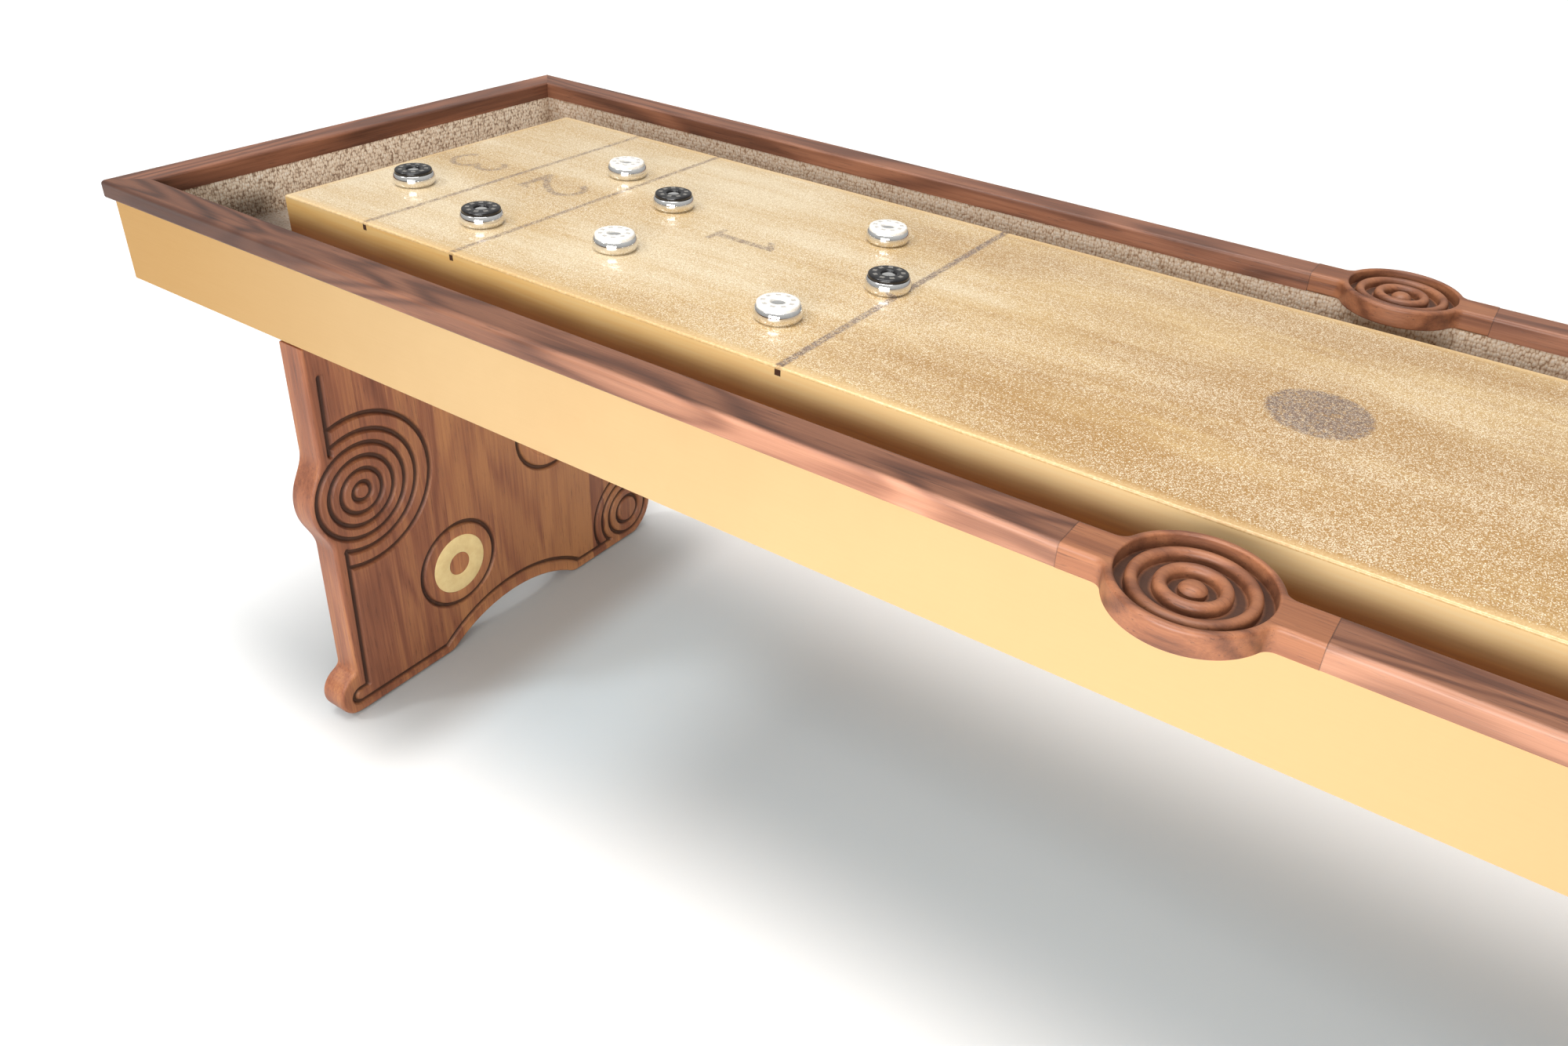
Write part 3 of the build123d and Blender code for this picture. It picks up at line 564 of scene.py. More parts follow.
def steel(name, a, b, rough, scale=80.0):
    g = Graph(name)
    n = g.noise(g.coords(), scale, 5.0, 0.65)
    f = g.noise(g.coords((1, 1, 0.05)), 900.0, 2.0)
    c = g.ramp(n, [(0.3, a), (0.7, b)])
    g.set(Base_Color=c, Metallic=0.9,
          Roughness=g.math("ADD", g.range(n, 0.3, 0.7, rough, rough + 0.15),
                           g.range(f, 0.3, 0.7, -0.04, 0.04)),
          Normal=g.bump(n, 0.1, 0.0004))
    return g.mat


def plywood():
    g = Graph("birch_plywood")
    fig = g.noise(g.coords((0.15, 1, 1)), 12.0, 4.0, 0.55, 0.8)
    w = g.math("SINE", g.math("MULTIPLY", fig, 70.0))
    z = g.axis(g.coords(), "Z")
    ply = g.math("GREATER_THAN", g.math("FRACT", g.math("MULTIPLY", z, 1 / 0.0028)), 0.5)
    fac = g.math("ADD", g.range(w, -1, 1, 0.3, 0.7), g.math("MULTIPLY", ply, 0.12))
    c = g.ramp(fac, [(0.0, lin(190, 150, 104)), (1.0, lin(224, 192, 146))])
    f = g.noise(g.coords((0.05, 1, 1)), 300.0, 3.0)
    g.set(Base_Color=c, Roughness=g.range(f, 0.3, 0.7, 0.55, 0.7),
          Normal=g.bump(f, 0.2, 0.0004))
    return g.mat


m_brass, m_ring = brass_sheet(), brass_ring()
m_maple, m_play, m_inlay_top, m_inlay = (maple_side(), play_surface(),
                                         inlay_under_finish(), inlay_wood())
m_fabric, m_chrome = fabric(), chrome()
m_cap_black = cap("cap_black", lin(14, 13, 14), lin(32, 30, 30), 0.16,
                  pressed=lin(128, 124, 118))
m_cap_white = cap("cap_pearl", lin(206, 200, 192), lin(248, 246, 240), 0.22, 2.2,
                  pressed=lin(176, 170, 162))
m_steel = steel("zinc_steel", (0.50, 0.50, 0.49), (0.66, 0.66, 0.65), 0.32)
m_black = steel("blackened_steel", (0.020, 0.020, 0.021), (0.045, 0.045, 0.047), 0.48)
m_ply = plywood()


def paint(name, material):
    """A carried CAD node gets its procedural finish."""
    o = nodes[name]
    o.data.materials.clear()
    o.data.materials.append(material)


for n in nodes:
    if n.startswith("rail_end"):
        paint(n, m_rail_y)
    elif n.startswith("rail_front"):
        paint(n, m_rail_front)
    elif n.startswith("rail_back"):
        paint(n, m_rail_back)
    elif n.startswith("rosette"):
        paint(n, m_rosette)
    elif n.startswith("apron_brass"):
        paint(n, m_brass)
    elif n.startswith(("wall_core", "cabinet_floor", "cross_bearers", "playfield_slips")):
        paint(n, m_ply)
    elif n.startswith(("liner_", "gutter_")):
        paint(n, m_fabric)
    elif n == "playfield_slab":
        paint(n, m_maple)
    elif n == "playfield_inlays":
        paint(n, m_inlay)
    elif n == "playfield_coat":
        paint(n, m_play)
    elif n in ("leg_left", "leg_right"):
        paint(n, m_leg)
    elif n == "leg_ring_inlays":
        paint(n, m_ring)
    elif n == "leg_cleats":
        paint(n, m_cleat)
    elif n in ("leg_plates", "adjuster_brackets"):
        paint(n, m_black)
    elif n.endswith("_body"):
        paint(n, m_chrome)
    elif n.endswith("_cap"):
        paint(n, m_cap_black if "black" in n else m_cap_white)
    else:
        paint(n, m_steel)

# ---------------------------------------------------------------------------
# Mesh helpers
# ---------------------------------------------------------------------------
def make_object(name, verts, faces, material, normals=None, attrs=None,
                smooth=True, body="table", slot=None, replaces=()):
    me = bpy.data.meshes.new(name)
    me.from_pydata([tuple(v) for v in verts], [], [tuple(f) for f in faces])
    me.update()
    for key, values in (attrs or {}).items():
        a = me.attributes.new(key, "FLOAT", "POINT")
        a.data.foreach_set("value", np.asarray(values, np.float32))
    if smooth:
        me.polygons.foreach_set("use_smooth", [True] * len(me.polygons))
    if normals is not None:
        me.normals_split_custom_set_from_vertices([tuple(n) for n in normals])
    o = bpy.data.objects.new(name, me)
    bpy.context.scene.collection.objects.link(o)
    o.data.materials.append(material)
    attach(o, body)
    if replaces:
        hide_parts(*replaces)
    return o


def contours(field, level, x0, y0, step):
    """Closed lines where a sampled field equals level, by marching squares."""
    H, W = field.shape
    ins = field < level
    a, b, c, d = ins[:-1, :-1], ins[:-1, 1:], ins[1:, 1:], ins[1:, :-1]
    case = a * 1 + b * 2 + c * 4 + d * 8
    link = {}

    def hor(j, i):
        return j * W + i

    def ver(j, i):
        return H * W + j * W + i

    js, is_ = np.nonzero((case > 0) & (case < 15))
    table = {1: [(3, 0)], 2: [(0, 1)], 3: [(3, 1)], 4: [(1, 2)], 6: [(0, 2)],
             7: [(3, 2)], 8: [(2, 3)], 9: [(2, 0)], 11: [(2, 1)], 12: [(1, 3)],
             13: [(1, 0)], 14: [(0, 3)], 5: [(3, 0), (1, 2)], 10: [(0, 1), (2, 3)]}
    for j, i in zip(js.tolist(), is_.tolist()):
        e = (hor(j, i), ver(j, i + 1), hor(j + 1, i), ver(j, i))
        for p, q in table[int(case[j, i])]:
            link.setdefault(e[p], []).append(e[q])
            link.setdefault(e[q], []).append(e[p])

    def point(k):
        if k < H * W:
            j, i = divmod(k, W)
            t = (level - field[j, i]) / (field[j, i + 1] - field[j, i])
            return (x0 + (i + t) * step, y0 + j * step)
        j, i = divmod(k - H * W, W)
        t = (level - field[j, i]) / (field[j + 1, i] - field[j, i])
        return (x0 + i * step, y0 + (j + t) * step)

    seen, loops = set(), []
    for start in link:
        if start in seen:
            continue
        loop, cur, prev = [start], start, None
        seen.add(start)
        while True:
            nxt = [n for n in link[cur] if n != prev and n not in seen]
            if not nxt:
                break
            prev, cur = cur, nxt[0]
            seen.add(cur)
            loop.append(cur)
        loops.append(np.array([point(k) for k in loop]))
    return [l for l in loops if len(l) > 6]


def simplify(loop, tol, longest):
    """Closed polyline with fewer points, kept within tol of the first."""
    n = len(loop)
    far = int(np.argmax(np.hypot(*(loop - loop[0]).T)))
    keep = {0, far}
    stack = [(0, far), (far, n)]
    ext = np.vstack([loop, loop[:1]])
    while stack:
        i, j = stack.pop()
        if j - i < 2:
            continue
        p, q = ext[i], ext[j]
        seg = q - p
        L = np.hypot(*seg)
        mid = ext[i + 1:j]
        if L < 1e-9:
            dist = np.hypot(*(mid - p).T)
        else:
            dist = np.abs((mid[:, 0] - p[0]) * seg[1] - (mid[:, 1] - p[1]) * seg[0]) / L
        k = int(np.argmax(dist))
        if dist[k] > tol or L > longest:
            if dist[k] <= tol:
                k = (j - i) // 2 - 1
            m = i + 1 + k
            keep.add(m % n)
            stack += [(i, m), (m, j)]
    return loop[sorted(keep)]


def smin(a, b, k):
    h = np.clip(0.5 + 0.5 * (b - a) / k, 0, 1)
    return b * (1 - h) + a * h - k * h * (1 - h)


def smax(a, b, k):
    return -smin(-a, -b, k)


def seg_dist(p, a, b):
    a, b = np.array(a, float), np.array(b, float)
    t = np.clip(((p - a) @ (b - a)) / ((b - a) @ (b - a)), 0, 1)
    return np.hypot(*(p - a - t[:, None] * (b - a)).T)


def ring_dist(p, c, r):
    return np.abs(np.hypot(p[:, 0] - c[0], p[:, 1] - c[1]) - r)


def arc_dist(p, c, r, a0, a1):
    """Distance to the arc from angle a0 to a1, degrees from +Y towards +Z."""
    d = p - np.array(c, float)
    ang = np.degrees(np.arctan2(d[:, 1], d[:, 0]))
    ang = (ang - a0) % 360.0
    on = ang <= (a1 - a0)
    ends = [np.array(c) + r * np.array([math.cos(math.radians(a)), math.sin(math.radians(a))])
            for a in (a0, a1)]
    e = np.minimum(np.hypot(*(p - ends[0]).T), np.hypot(*(p - ends[1]).T))
    return np.where(on, np.abs(np.hypot(*d.T) - r), e)


def poly_sdf(p, pts):
    pts = np.array(pts, float)
    n = len(pts)
    best = np.full(len(p), 1e9)
    inside = np.zeros(len(p), bool)
    for i in range(n):
        a, b = pts[i], pts[(i + 1) % n]
        best = np.minimum(best, seg_dist(p, a, b))
        cond = (a[1] > p[:, 1]) != (b[1] > p[:, 1])
        with np.errstate(divide="ignore", invalid="ignore"):
            xi = (b[0] - a[0]) * (p[:, 1] - a[1]) / (b[1] - a[1]) + a[0]
        inside ^= cond & (p[:, 0] < xi)
    return np.where(inside, -best, best)


# ---------------------------------------------------------------------------
# Carved legs. Drawn in millimetres as (Y, height) for the leg at -X.
# ---------------------------------------------------------------------------
ROSE, FOOT, SCROLL = (-258.5, 372.8), (288.0, 65.0), (-321.0, 38.0)
RING_CENTRES = ((-109.0, 162.0), (109.0, 320.0))
RING_OUT, RING_IN = 50.8, 19.6
EDGE_R = 5.0
GROOVE_W, GROOVE_D = 6.0, 6.0
BASE_H = 21.5


def leg_sdf(p):
    y, h = p[:, 0], p[:, 1]
    body = poly_sdf(p, [(-314, 617), (314, 617), (323, 80), (300, -40),
                        (-312, -40), (-325.3, 60)])
    d = smin(body, np.hypot(y - SCROLL[0], h - SCROLL[1]) - 37.0, 12.0)
    d = smin(d, np.hypot(y - FOOT[0], h - FOOT[1]) - 63.5, 12.0)
    d = smin(d, np.hypot(y - ROSE[0], h - ROSE[1]) - 84.0, 16.0)
    arch = 245.0 - np.hypot(y, h + 197.5)
    d = smax(d, arch, 12.0)
    return smax(d, 3.0 - h, 5.0)


def groove_distance(p):
    parts = [ring_dist(p, ROSE, r) for r in (14.5, 34.5, 54.5, 74.3)]
    for r in (94.3, 119.8):
        yu, yl = -297.0 - ROSE[0], -301.0 - ROSE[0]
        au = math.degrees(math.atan2(math.sqrt(r * r - yu * yu), yu))
        al = -math.degrees(math.atan2(math.sqrt(r * r - yl * yl), yl))
        parts.append(arc_dist(p, ROSE, r, al, au))
    parts.append(seg_dist(p, (-293.5, 567), (-298, 450)))
    parts.append(seg_dist(p, (-300.3, 290), (-307.6, BASE_H + 24)))
    parts.append(seg_dist(p, (-307.6, BASE_H + 24), (-322, BASE_H + 24)))
    parts.append(arc_dist(p, (-322, BASE_H + 12), 12.0, 90, 270))
    ay = math.sqrt(254.0 ** 2 - (BASE_H - 74.0 + 254.0) ** 2)
    a = math.degrees(math.atan2(BASE_H - 74.0 + 254.0, ay))
    parts.append(seg_dist(p, (-322, BASE_H), (-ay, BASE_H)))
    parts.append(arc_dist(p, (0, 74.0 - 254.0), 254.0, a, 180 - a))
    parts.append(seg_dist(p, (ay, BASE_H), (239, BASE_H)))
    parts += [ring_dist(p, c, 73.0) for c in RING_CENTRES]
    parts += [ring_dist(p, FOOT, r) for r in (27.5, 48.5)]
    for r in (67.0, 87.0):
        lo = 180 + math.degrees(math.asin((FOOT[1] - BASE_H) / r))
        hi = math.degrees(math.acos((300.5 - FOOT[0]) / r))
        parts.append(arc_dist(p, FOOT, r, hi, lo))
    parts.append(seg_dist(p, (296, 567), (300.8, 131)))
    return np.minimum.reduce(parts)


def groove_depth(d):
    """Depth and slope of a routed groove at distance d from its middle."""
    t = np.clip((GROOVE_W - d) / (GROOVE_W - 0.9), 0, 1)
    return GROOVE_D * (3 * t * t - 2 * t ** 3), -GROOVE_D * 6 * t * (1 - t) / (GROOVE_W - 0.9)


def gradient(f, p, e=0.02):
    gx = (f(p + [e, 0]) - f(p - [e, 0])) / (2 * e)
    gy = (f(p + [0, e]) - f(p - [0, e])) / (2 * e)
    g = np.c_[gx, gy]
    return g / np.maximum(np.hypot(gx, gy), 1e-9)[:, None]


def seat_drop(p):
    """3 mm deep seats of the brass rings."""
    out = np.zeros(len(p))
    for c in RING_CENTRES:
        r = np.hypot(p[:, 0] - c[0], p[:, 1] - c[1])
        out = np.maximum(out, 3.0 * ((r > RING_IN - 0.04 + 0.04) & (r < RING_OUT - 0.04)))
    return out


def circle(c, r, n):
    a = np.linspace(0, 2 * np.pi, n, endpoint=False)
    return np.c_[c[0] + r * np.cos(a), c[1] + r * np.sin(a)]


def plate_cdt(loops, extra=()):
    """Triangles over the plane with every loop kept as an edge line."""
    pts, edges = [], []
    for l in loops:
        s = len(pts)
        pts += [Vector((float(x), float(y))) for x, y in l]
        edges += [(s + i, s + (i + 1) % len(l)) for i in range(len(l))]
    pts += [Vector((float(x), float(y))) for x, y in extra]
    out = mathutils.geometry.delaunay_2d_cdt(pts, edges, [], 0, 1e-5)
    return np.array([[v.x, v.y] for v in out[0]]), np.array([list(f) for f in out[2]])


def build_leg_parts():
    step = 1.0
    ys = np.arange(-372, 373, step)
    hs = np.arange(-6, 628, step)
    Y, Hh = np.meshgrid(ys, hs)
    P = np.c_[Y.ravel(), Hh.ravel()]
    S = smax(leg_sdf(P), P[:, 1] - 617.0, 0.01).reshape(Y.shape)
    D = groove_distance(P).reshape(Y.shape)

    def outline(p):
        return smax(leg_sdf(p), p[:, 1] - 617.0, 0.01)

    loops = []
    rim = None
    for phi in (0, 18, 38, 58, 76, 90):
        t = EDGE_R * (1 - math.cos(math.radians(phi)))
        ls = contours(S, -t if t > 0 else 0.0, ys[0], hs[0], step)
        ls = sorted(ls, key=len)[-1:]
        ls = [simplify(l, 0.035, 22.0) for l in ls]
        if rim is None:
            rim = ls[0]
        loops += ls
    for lev in (0.9, 1.7, 2.5, 3.3, 4.2, 5.1, GROOVE_W):
        loops += [simplify(l, 0.035, 22.0) for l in contours(D, lev, ys[0], hs[0], step)]
    for c in RING_CENTRES:
        for r in (RING_IN - 0.04, RING_IN + 0.04, RING_OUT - 0.08, RING_OUT):
            loops.append(circle(c, r, 96))
    pts, tris = plate_cdt(loops)
    cen = pts[tris].mean(1)
    tris = tris[outline(cen) < 0.004]
    used = np.unique(tris)
    remap = -np.ones(len(pts), int)
    remap[used] = np.arange(len(used))
    pts, tris = pts[used], remap[tris]
    s = outline(pts)
    d = groove_distance(pts)
    depth, slope = groove_depth(d)
    gd = gradient(groove_distance, pts)
    go = gradient(outline, pts)
    inset = np.clip(-s, 0, EDGE_R)
    drop = EDGE_R - np.sqrt(np.maximum(EDGE_R ** 2 - (EDGE_R - inset) ** 2, 0))
    cosp = (EDGE_R - inset) / EDGE_R
    sinp = np.sqrt(np.maximum(1 - cosp ** 2, 0))
    seats = seat_drop(pts)
    z = -(depth + drop + seats)
    n = np.zeros((len(pts), 3))          # (y, h, out)
    n[:, 0] = slope * gd[:, 0]
    n[:, 1] = slope * gd[:, 1]
    n[:, 2] = 1.0
    n[seats > 0] = (0, 0, 1)
    edge = inset < EDGE_R - 1e-3
    n[edge] = np.c_[go[edge] * cosp[edge][:, None], sinp[edge]]
    n /= np.linalg.norm(n, axis=1)[:, None]
    # painted shade: darker down in the grooves; the soft halo around them is partly painted
    # shade, partly oil and sand worked into the wood
    halo_shade_and_grime = np.clip((11.0 - d) / 6.0, 0, 1) ** 2 * 0.32
    shade_and_grime = np.clip((4.6 - d) / 2.0, 0, 1) * 0.96
    shade_and_grime = np.maximum(shade_and_grime, halo_shade_and_grime)
    return pts, tris, z, n, shade_and_grime, rim, outline


def leg_mesh(sx):
    """Vertices, triangles, normals and painted shade and grime of the leg on side sx."""
    pts, tris, z, n, shade_and_grime, rim, outline = LEG_PARTS
    N = len(pts)
    x_in, x_out = -1185.0, -1230.0       # inner and outer carved faces
    V, F, NN, B = [], [], [], []
    # inner face looks to +X
    V.append(np.c_[x_in + z, pts])
    NN.append(np.c_[n[:, 2], n[:, 0], n[:, 1]])
    a, b, c = pts[tris[:, 0]], pts[tris[:, 1]], pts[tris[:, 2]]
    ccw = ((b - a)[:, 0] * (c - a)[:, 1] - (b - a)[:, 1] * (c - a)[:, 0]) > 0
    t_in = np.where(ccw[:, None], tris, tris[:, ::-1])
    F.append(t_in)
    V.append(np.c_[x_out - z, pts])
    NN.append(np.c_[-n[:, 2], n[:, 0], n[:, 1]])
    F.append(t_in[:, ::-1] + N)
    B += [shade_and_grime, shade_and_grime]
    # wall between the two rims
    tree = {}
    for i, p in enumerate(pts):
        tree[(round(p[0], 3), round(p[1], 3))] = i
    def near(q):
        k = (round(q[0], 3), round(q[1], 3))
        if k in tree:
            return tree[k]
        return int(np.argmin(np.hypot(*(pts - q).T)))
    ids = [near(q) for q in rim]
    area = 0.5 * np.sum(rim[:, 0] * np.roll(rim[:, 1], -1) - np.roll(rim[:, 0], -1) * rim[:, 1])
    if area < 0:
        ids = ids[::-1]
    quads = []
    flat_runs = []
    m = len(ids)
    flat = [abs(pts[ids[k]][1] - 3.0) < 0.02 and abs(pts[ids[(k + 1) % m]][1] - 3.0) < 0.02
            and abs(pts[ids[k]][0] - pts[ids[(k + 1) % m]][0]) > 0 for k in range(m)]
    start = next(k for k in range(m) if not flat[k])
    run = []
    for q in range(m):
        k = (start + q) % m
        i, j = ids[k], ids[(k + 1) % m]
        if flat[k]:
            run.append((i, j))
        else:
            if run:
                flat_runs.append(run)
                run = []
            quads.append((i, i + N, j + N, j))
    if run:
        flat_runs.append(run)
    V = list(np.vstack(V))
    NN = list(np.vstack(NN))
    B = list(np.concatenate(B))
    faces = [tuple(f) for f in np.vstack(F)] + quads
    # undersides of the feet, each with the round recess of its pad
    for run in flat_runs:
        chain = [run[0][0]] + [j for _, j in run]
        yy = [pts[i][0] for i in chain]
        lo, hi = min(yy), max(yy)
        if hi - lo < 40:
            faces += [(i, i + N, j + N, j) for i, j in run]
            continue
        cy = -232.0 if (lo + hi) / 2 < 0 else 232.0
        xa, xb = x_in - EDGE_R, x_out + EDGE_R
        ring2 = [(xa, pts[i][0]) for i in chain] + [(xb, pts[i][0]) for i in chain[::-1]]
        hole = circle(((xa + xb) / 2, cy), 16.5, 48)
        q, t = plate_cdt([np.array(ring2), hole])
        cen = q[t].mean(1)
        t = t[np.hypot(cen[:, 0] - (xa + xb) / 2, cen[:, 1] - cy) > 16.5 * 0.999]
        # painted shade under the feet, darker on the walls of the pad recesses
        base = len(V)
        for x, y in q:
            V.append(np.array([x, y, 3.0]))
            NN.append(np.array([0, 0, -1.0]))
            B.append(0.25)
        for f in t:
            pa, pb, pc = q[f[0]], q[f[1]], q[f[2]]
            up = (pb - pa)[0] * (pc - pa)[1] - (pb - pa)[1] * (pc - pa)[0]
            f = f[::-1] if up > 0 else f
            faces.append(tuple(int(k) + base for k in f))
        base = len(V)
        for zz in (3.0, 11.0):
            for x, y in hole:
                V.append(np.array([x, y, zz]))
                nn = np.array([(xa + xb) / 2 - x, cy - y, 0.0])
                NN.append(nn / np.linalg.norm(nn))
                B.append(0.6)
        for k in range(48):
            k2 = (k + 1) % 48
            faces.append((base + k, base + k2, base + 48 + k2, base + 48 + k))
        faces.append(tuple(base + 48 + k for k in range(48))[::-1])
    V = np.array(V) / 1000.0
    NN = np.array(NN)
    if sx > 0:
        V[:, :2] *= -1
        NN[:, :2] *= -1
    return V, faces, NN, np.array(B)


LEG_PARTS = build_leg_parts()
for sx, end in ((-1, "left"), (1, "right")):
    V, F, NN, B = leg_mesh(sx)
    make_object("carved_leg_" + end, V, F, m_leg, NN, {"shade_and_grime": B},
                slot="walnut", replaces=("leg_" + end,))
    print("leg", end, len(V), len(F))


# brass rings let into the carved faces, a hair below the wood
def lathe(profile, n, centre, axis="Z", sign=1.0):
    """Surface of revolution of (radius, height) points, metres."""
    prof = np.array(profile, float)
    a = np.linspace(0, 2 * np.pi, n, endpoint=False)
    V = []
    for r, z in prof:
        V.append(np.c_[r * np.cos(a), r * np.sin(a), np.full(n, z)])
    V = np.vstack(V)
    F = []
    for i in range(len(prof) - 1):
        for k in range(n):
            k2 = (k + 1) % n
            F.append((i * n + k, i * n + k2, (i + 1) * n + k2, (i + 1) * n + k))
    if axis == "X":
        V = np.c_[sign * V[:, 2], V[:, 0], V[:, 1] * sign]
    return V + np.array(centre), F


ring_parts = {False: ([], []), True: ([], [])}
prof = [(RING_IN + 0.25, -2.9), (RING_IN + 0.25, -0.45), (RING_IN + 0.45, -0.18),
        (RING_IN + 0.8, -0.10), (RING_OUT - 0.8, -0.10), (RING_OUT - 0.45, -0.18),
        (RING_OUT - 0.25, -0.45), (RING_OUT - 0.25, -2.9)]
prof = [(r / 1000, z / 1000) for r, z in prof][::-1]
for sx in (-1, 1):
    for face in (-1, 1):                      # inner face looks to the centre
        for cy, ch in RING_CENTRES:
            x = sx * (1.185 if face < 0 else 1.230)
            out = -sx if face < 0 else sx
            v, f = lathe(prof, 96, (x, (cy / 1000) * (1 if sx < 0 else -1), ch / 1000),
                         "X", out)
            rv, rf = ring_parts[ch > 200]
            rf += [tuple(k + len(rv) for k in q) for q in f]
            rv += list(v)
make_object("leg_brass_rings", *ring_parts[False], m_ring, slot="brass",
            replaces=("leg_ring_inlays",))
# the motif beside it, under the apron, is filled with wood
make_object("leg_wood_rings", *ring_parts[True], m_leg, slot="walnut")

# ---------------------------------------------------------------------------
# Gutter lining: one strip of nubbly fabric on each side, from under the rail
# down the wall and along the gutter floor to under the playfield
# ---------------------------------------------------------------------------
FLOOR_IN_Y, FLOOR_IN_X = 0.222, 1.213
LINE_HI = RAIL_BOT - 0.0005


def smooth_noise(shape, cells, seed):
    """Seeded value noise, one value per `cells` grid points."""
    rng = np.random.default_rng(seed)
    n0 = int(np.ceil(shape[0] / cells)) + 3
    n1 = int(np.ceil(shape[1] / cells)) + 3
    g0 = rng.uniform(-1, 1, (n0, n1))
    u = np.arange(shape[0]) / cells
    v = np.arange(shape[1]) / cells
    i, j = u.astype(int), v.astype(int)
    a, b = (u - i)[:, None], (v - j)[None, :]
    a, b = a * a * (3 - 2 * a), b * b * (3 - 2 * b)
    return (g0[np.ix_(i, j)] * (1 - a) * (1 - b) + g0[np.ix_(i + 1, j)] * a * (1 - b)
            + g0[np.ix_(i, j + 1)] * (1 - a) * b + g0[np.ix_(i + 1, j + 1)] * a * b)


def lining(name, along, half, wall, inner, sign, seed, keep=None, **kw):
    """Strip of length 2*half along one axis. wall and inner are the distances
    of the wall face and of the inner edge from the table's middle."""
    cove = 0.005
    step = 0.0026
    prof = []                            # (distance from the wall, z, normal)
    n = int((LINE_HI - CARPET_TOP - cove) / step)
    for i in range(n + 1):
        prof.append((0.0, LINE_HI - i * (LINE_HI - CARPET_TOP - cove) / n, 1.0, 0.0))
    for k in range(1, 4):
        a = math.radians(90 * k / 3)
        prof.append((cove * (1 - math.cos(a)), CARPET_TOP + cove * (1 - math.sin(a)),
                     math.cos(a), math.sin(a)))
    run = wall - inner - cove
    n = int(run / step)
    for i in range(1, n + 1):
        prof.append((cove + i * run / n, CARPET_TOP, 0.0, 1.0))
    prof = np.array(prof)
    cols = int(2 * half / step) + 1
    u = np.linspace(-half, half, cols)
    shape = (len(prof), cols)
    bump = (0.00016 * smooth_noise(shape, 1.6, seed)
            + 0.00030 * smooth_noise(shape, 28.0, seed + 1))
    d = prof[:, 0][:, None] + bump * prof[:, 2][:, None]
    z = prof[:, 1][:, None] + bump * prof[:, 3][:, None]
    z = np.minimum(z, LINE_HI)
    w = sign * (wall - d)
    U = np.broadcast_to(u[None, :], shape)
    W = np.broadcast_to(w, shape)
    Z = np.broadcast_to(z, shape)
    V = np.stack([U, W, Z] if along == "X" else [W, U, Z], -1).reshape(-1, 3)
    F = []
    flip = (sign > 0) == (along == "X")
    for i in range(shape[0] - 1):
        on_wall = prof[i + 1, 0] <= cove * 1.01
        for j in range(cols - 1):
            if keep is not None and not on_wall and abs(u[j] + u[j + 1]) / 2 > keep:
                continue
            a = i * cols + j
            q = (a, a + 1, a + cols + 1, a + cols)
            F.append(q if not flip else q[::-1])
    used = np.unique(np.array(F))
    if len(used) < len(V):
        remap = np.zeros(len(V), int)
        remap[used] = np.arange(len(used))
        V = V[used]
        F = [tuple(remap[k] for k in q) for q in F]
    o = make_object(name, V, F, m_fabric, slot="gutter_fabric", **kw)
    width = LINE_HI - CARPET_TOP - cove + math.pi / 2 * cove + run
    area = None
    if keep is not None:
        tall = LINE_HI - CARPET_TOP - cove + math.pi / 2 * cove
        area = 2 * half * tall + 2 * keep * run
    print("lining", name, len(F), "flat", round(width, 4), round(2 * half, 4), area)
    return o, (width, 2 * half), area


for sgn, side in ((-1, "front"), (1, "back")):
    o, flat, area = lining("lining_" + side, "X", LIX, LIY, FLOOR_IN_Y, sgn, 31 + sgn,
                           replaces=("liner_" + side, "gutter_" + side))
for sgn, end in ((-1, "left"), (1, "right")):
    o, flat, area = lining("lining_" + end, "Y", LIY, LIX, FLOOR_IN_X, sgn, 41 + sgn,
                           keep=FLOOR_IN_Y,
                           replaces=("liner_" + end, "gutter_" + end))


# ---------------------------------------------------------------------------
# Marks of the playfield, seen through the finish, with blurred edges
# ---------------------------------------------------------------------------
EDGE_FILLET = 0.0026
LINES = ((0.1524, 0.006), (0.3048, 0.006), (0.775, 0.0075))


def edge_profile():
    """(y, z, normal y, normal z) of the field's top over its rounded edge."""
    out = [(-PY + EDGE_FILLET, MARK_Z, 0.0, 1.0)]
    for a in (22, 45, 68, 90):
        t = math.radians(a)
        r = EDGE_FILLET + 0.00003
        out.insert(0, (-PY + EDGE_FILLET - r * math.sin(t),
                       PLAY_TOP - EDGE_FILLET + r * math.cos(t),
                       -math.sin(t), math.cos(t)))
    return out + [(-y, z, -ny, nz) for y, z, ny, nz in out[::-1]]


V, F, NN, S = [], [], [], []
for sx in (-1, 1):
    for off, w in LINES:
        x0 = sx * (PX - off)
        rows = edge_profile()
        xs = [-w / 2 - 0.0022, -w / 2 + 0.0010, w / 2 - 0.0010, w / 2 + 0.0022]
        base = len(V)
        for y, z, ny, nz in rows:
            for k, dx in enumerate(xs):
                V.append((x0 + dx, y, z))
                NN.append((0.0, ny, nz))
                S.append((0.0, 1.0, 1.0, 0.0)[k])
        for i in range(len(rows) - 1):
            for k in range(3):
                a = base + 4 * i + k
                F.append((a, a + 1, a + 5, a + 4))
# the lines near the ends lie under more dust
S = [s * (0.70 if abs(v[0]) > 0.8 else 1.0) for s, v in zip(S, V)]
make_object("score_lines", V, F, m_inlay_top, NN, {"soft": S}, slot="inlay")


def stroke(points, width):
    left, right = [], []
    n = len(points)
    for i in range(n):
        p, q = points[max(i - 1, 0)], points[min(i + 1, n - 1)]
        dx, dy = q[0] - p[0], q[1] - p[1]
        d = math.hypot(dx, dy)
        nx, ny = -dy / d * width / 2, dx / d * width / 2
        left.append((points[i][0] + nx, points[i][1] + ny))
        right.append((points[i][0] - nx, points[i][1] - ny))
    return left + right[::-1]


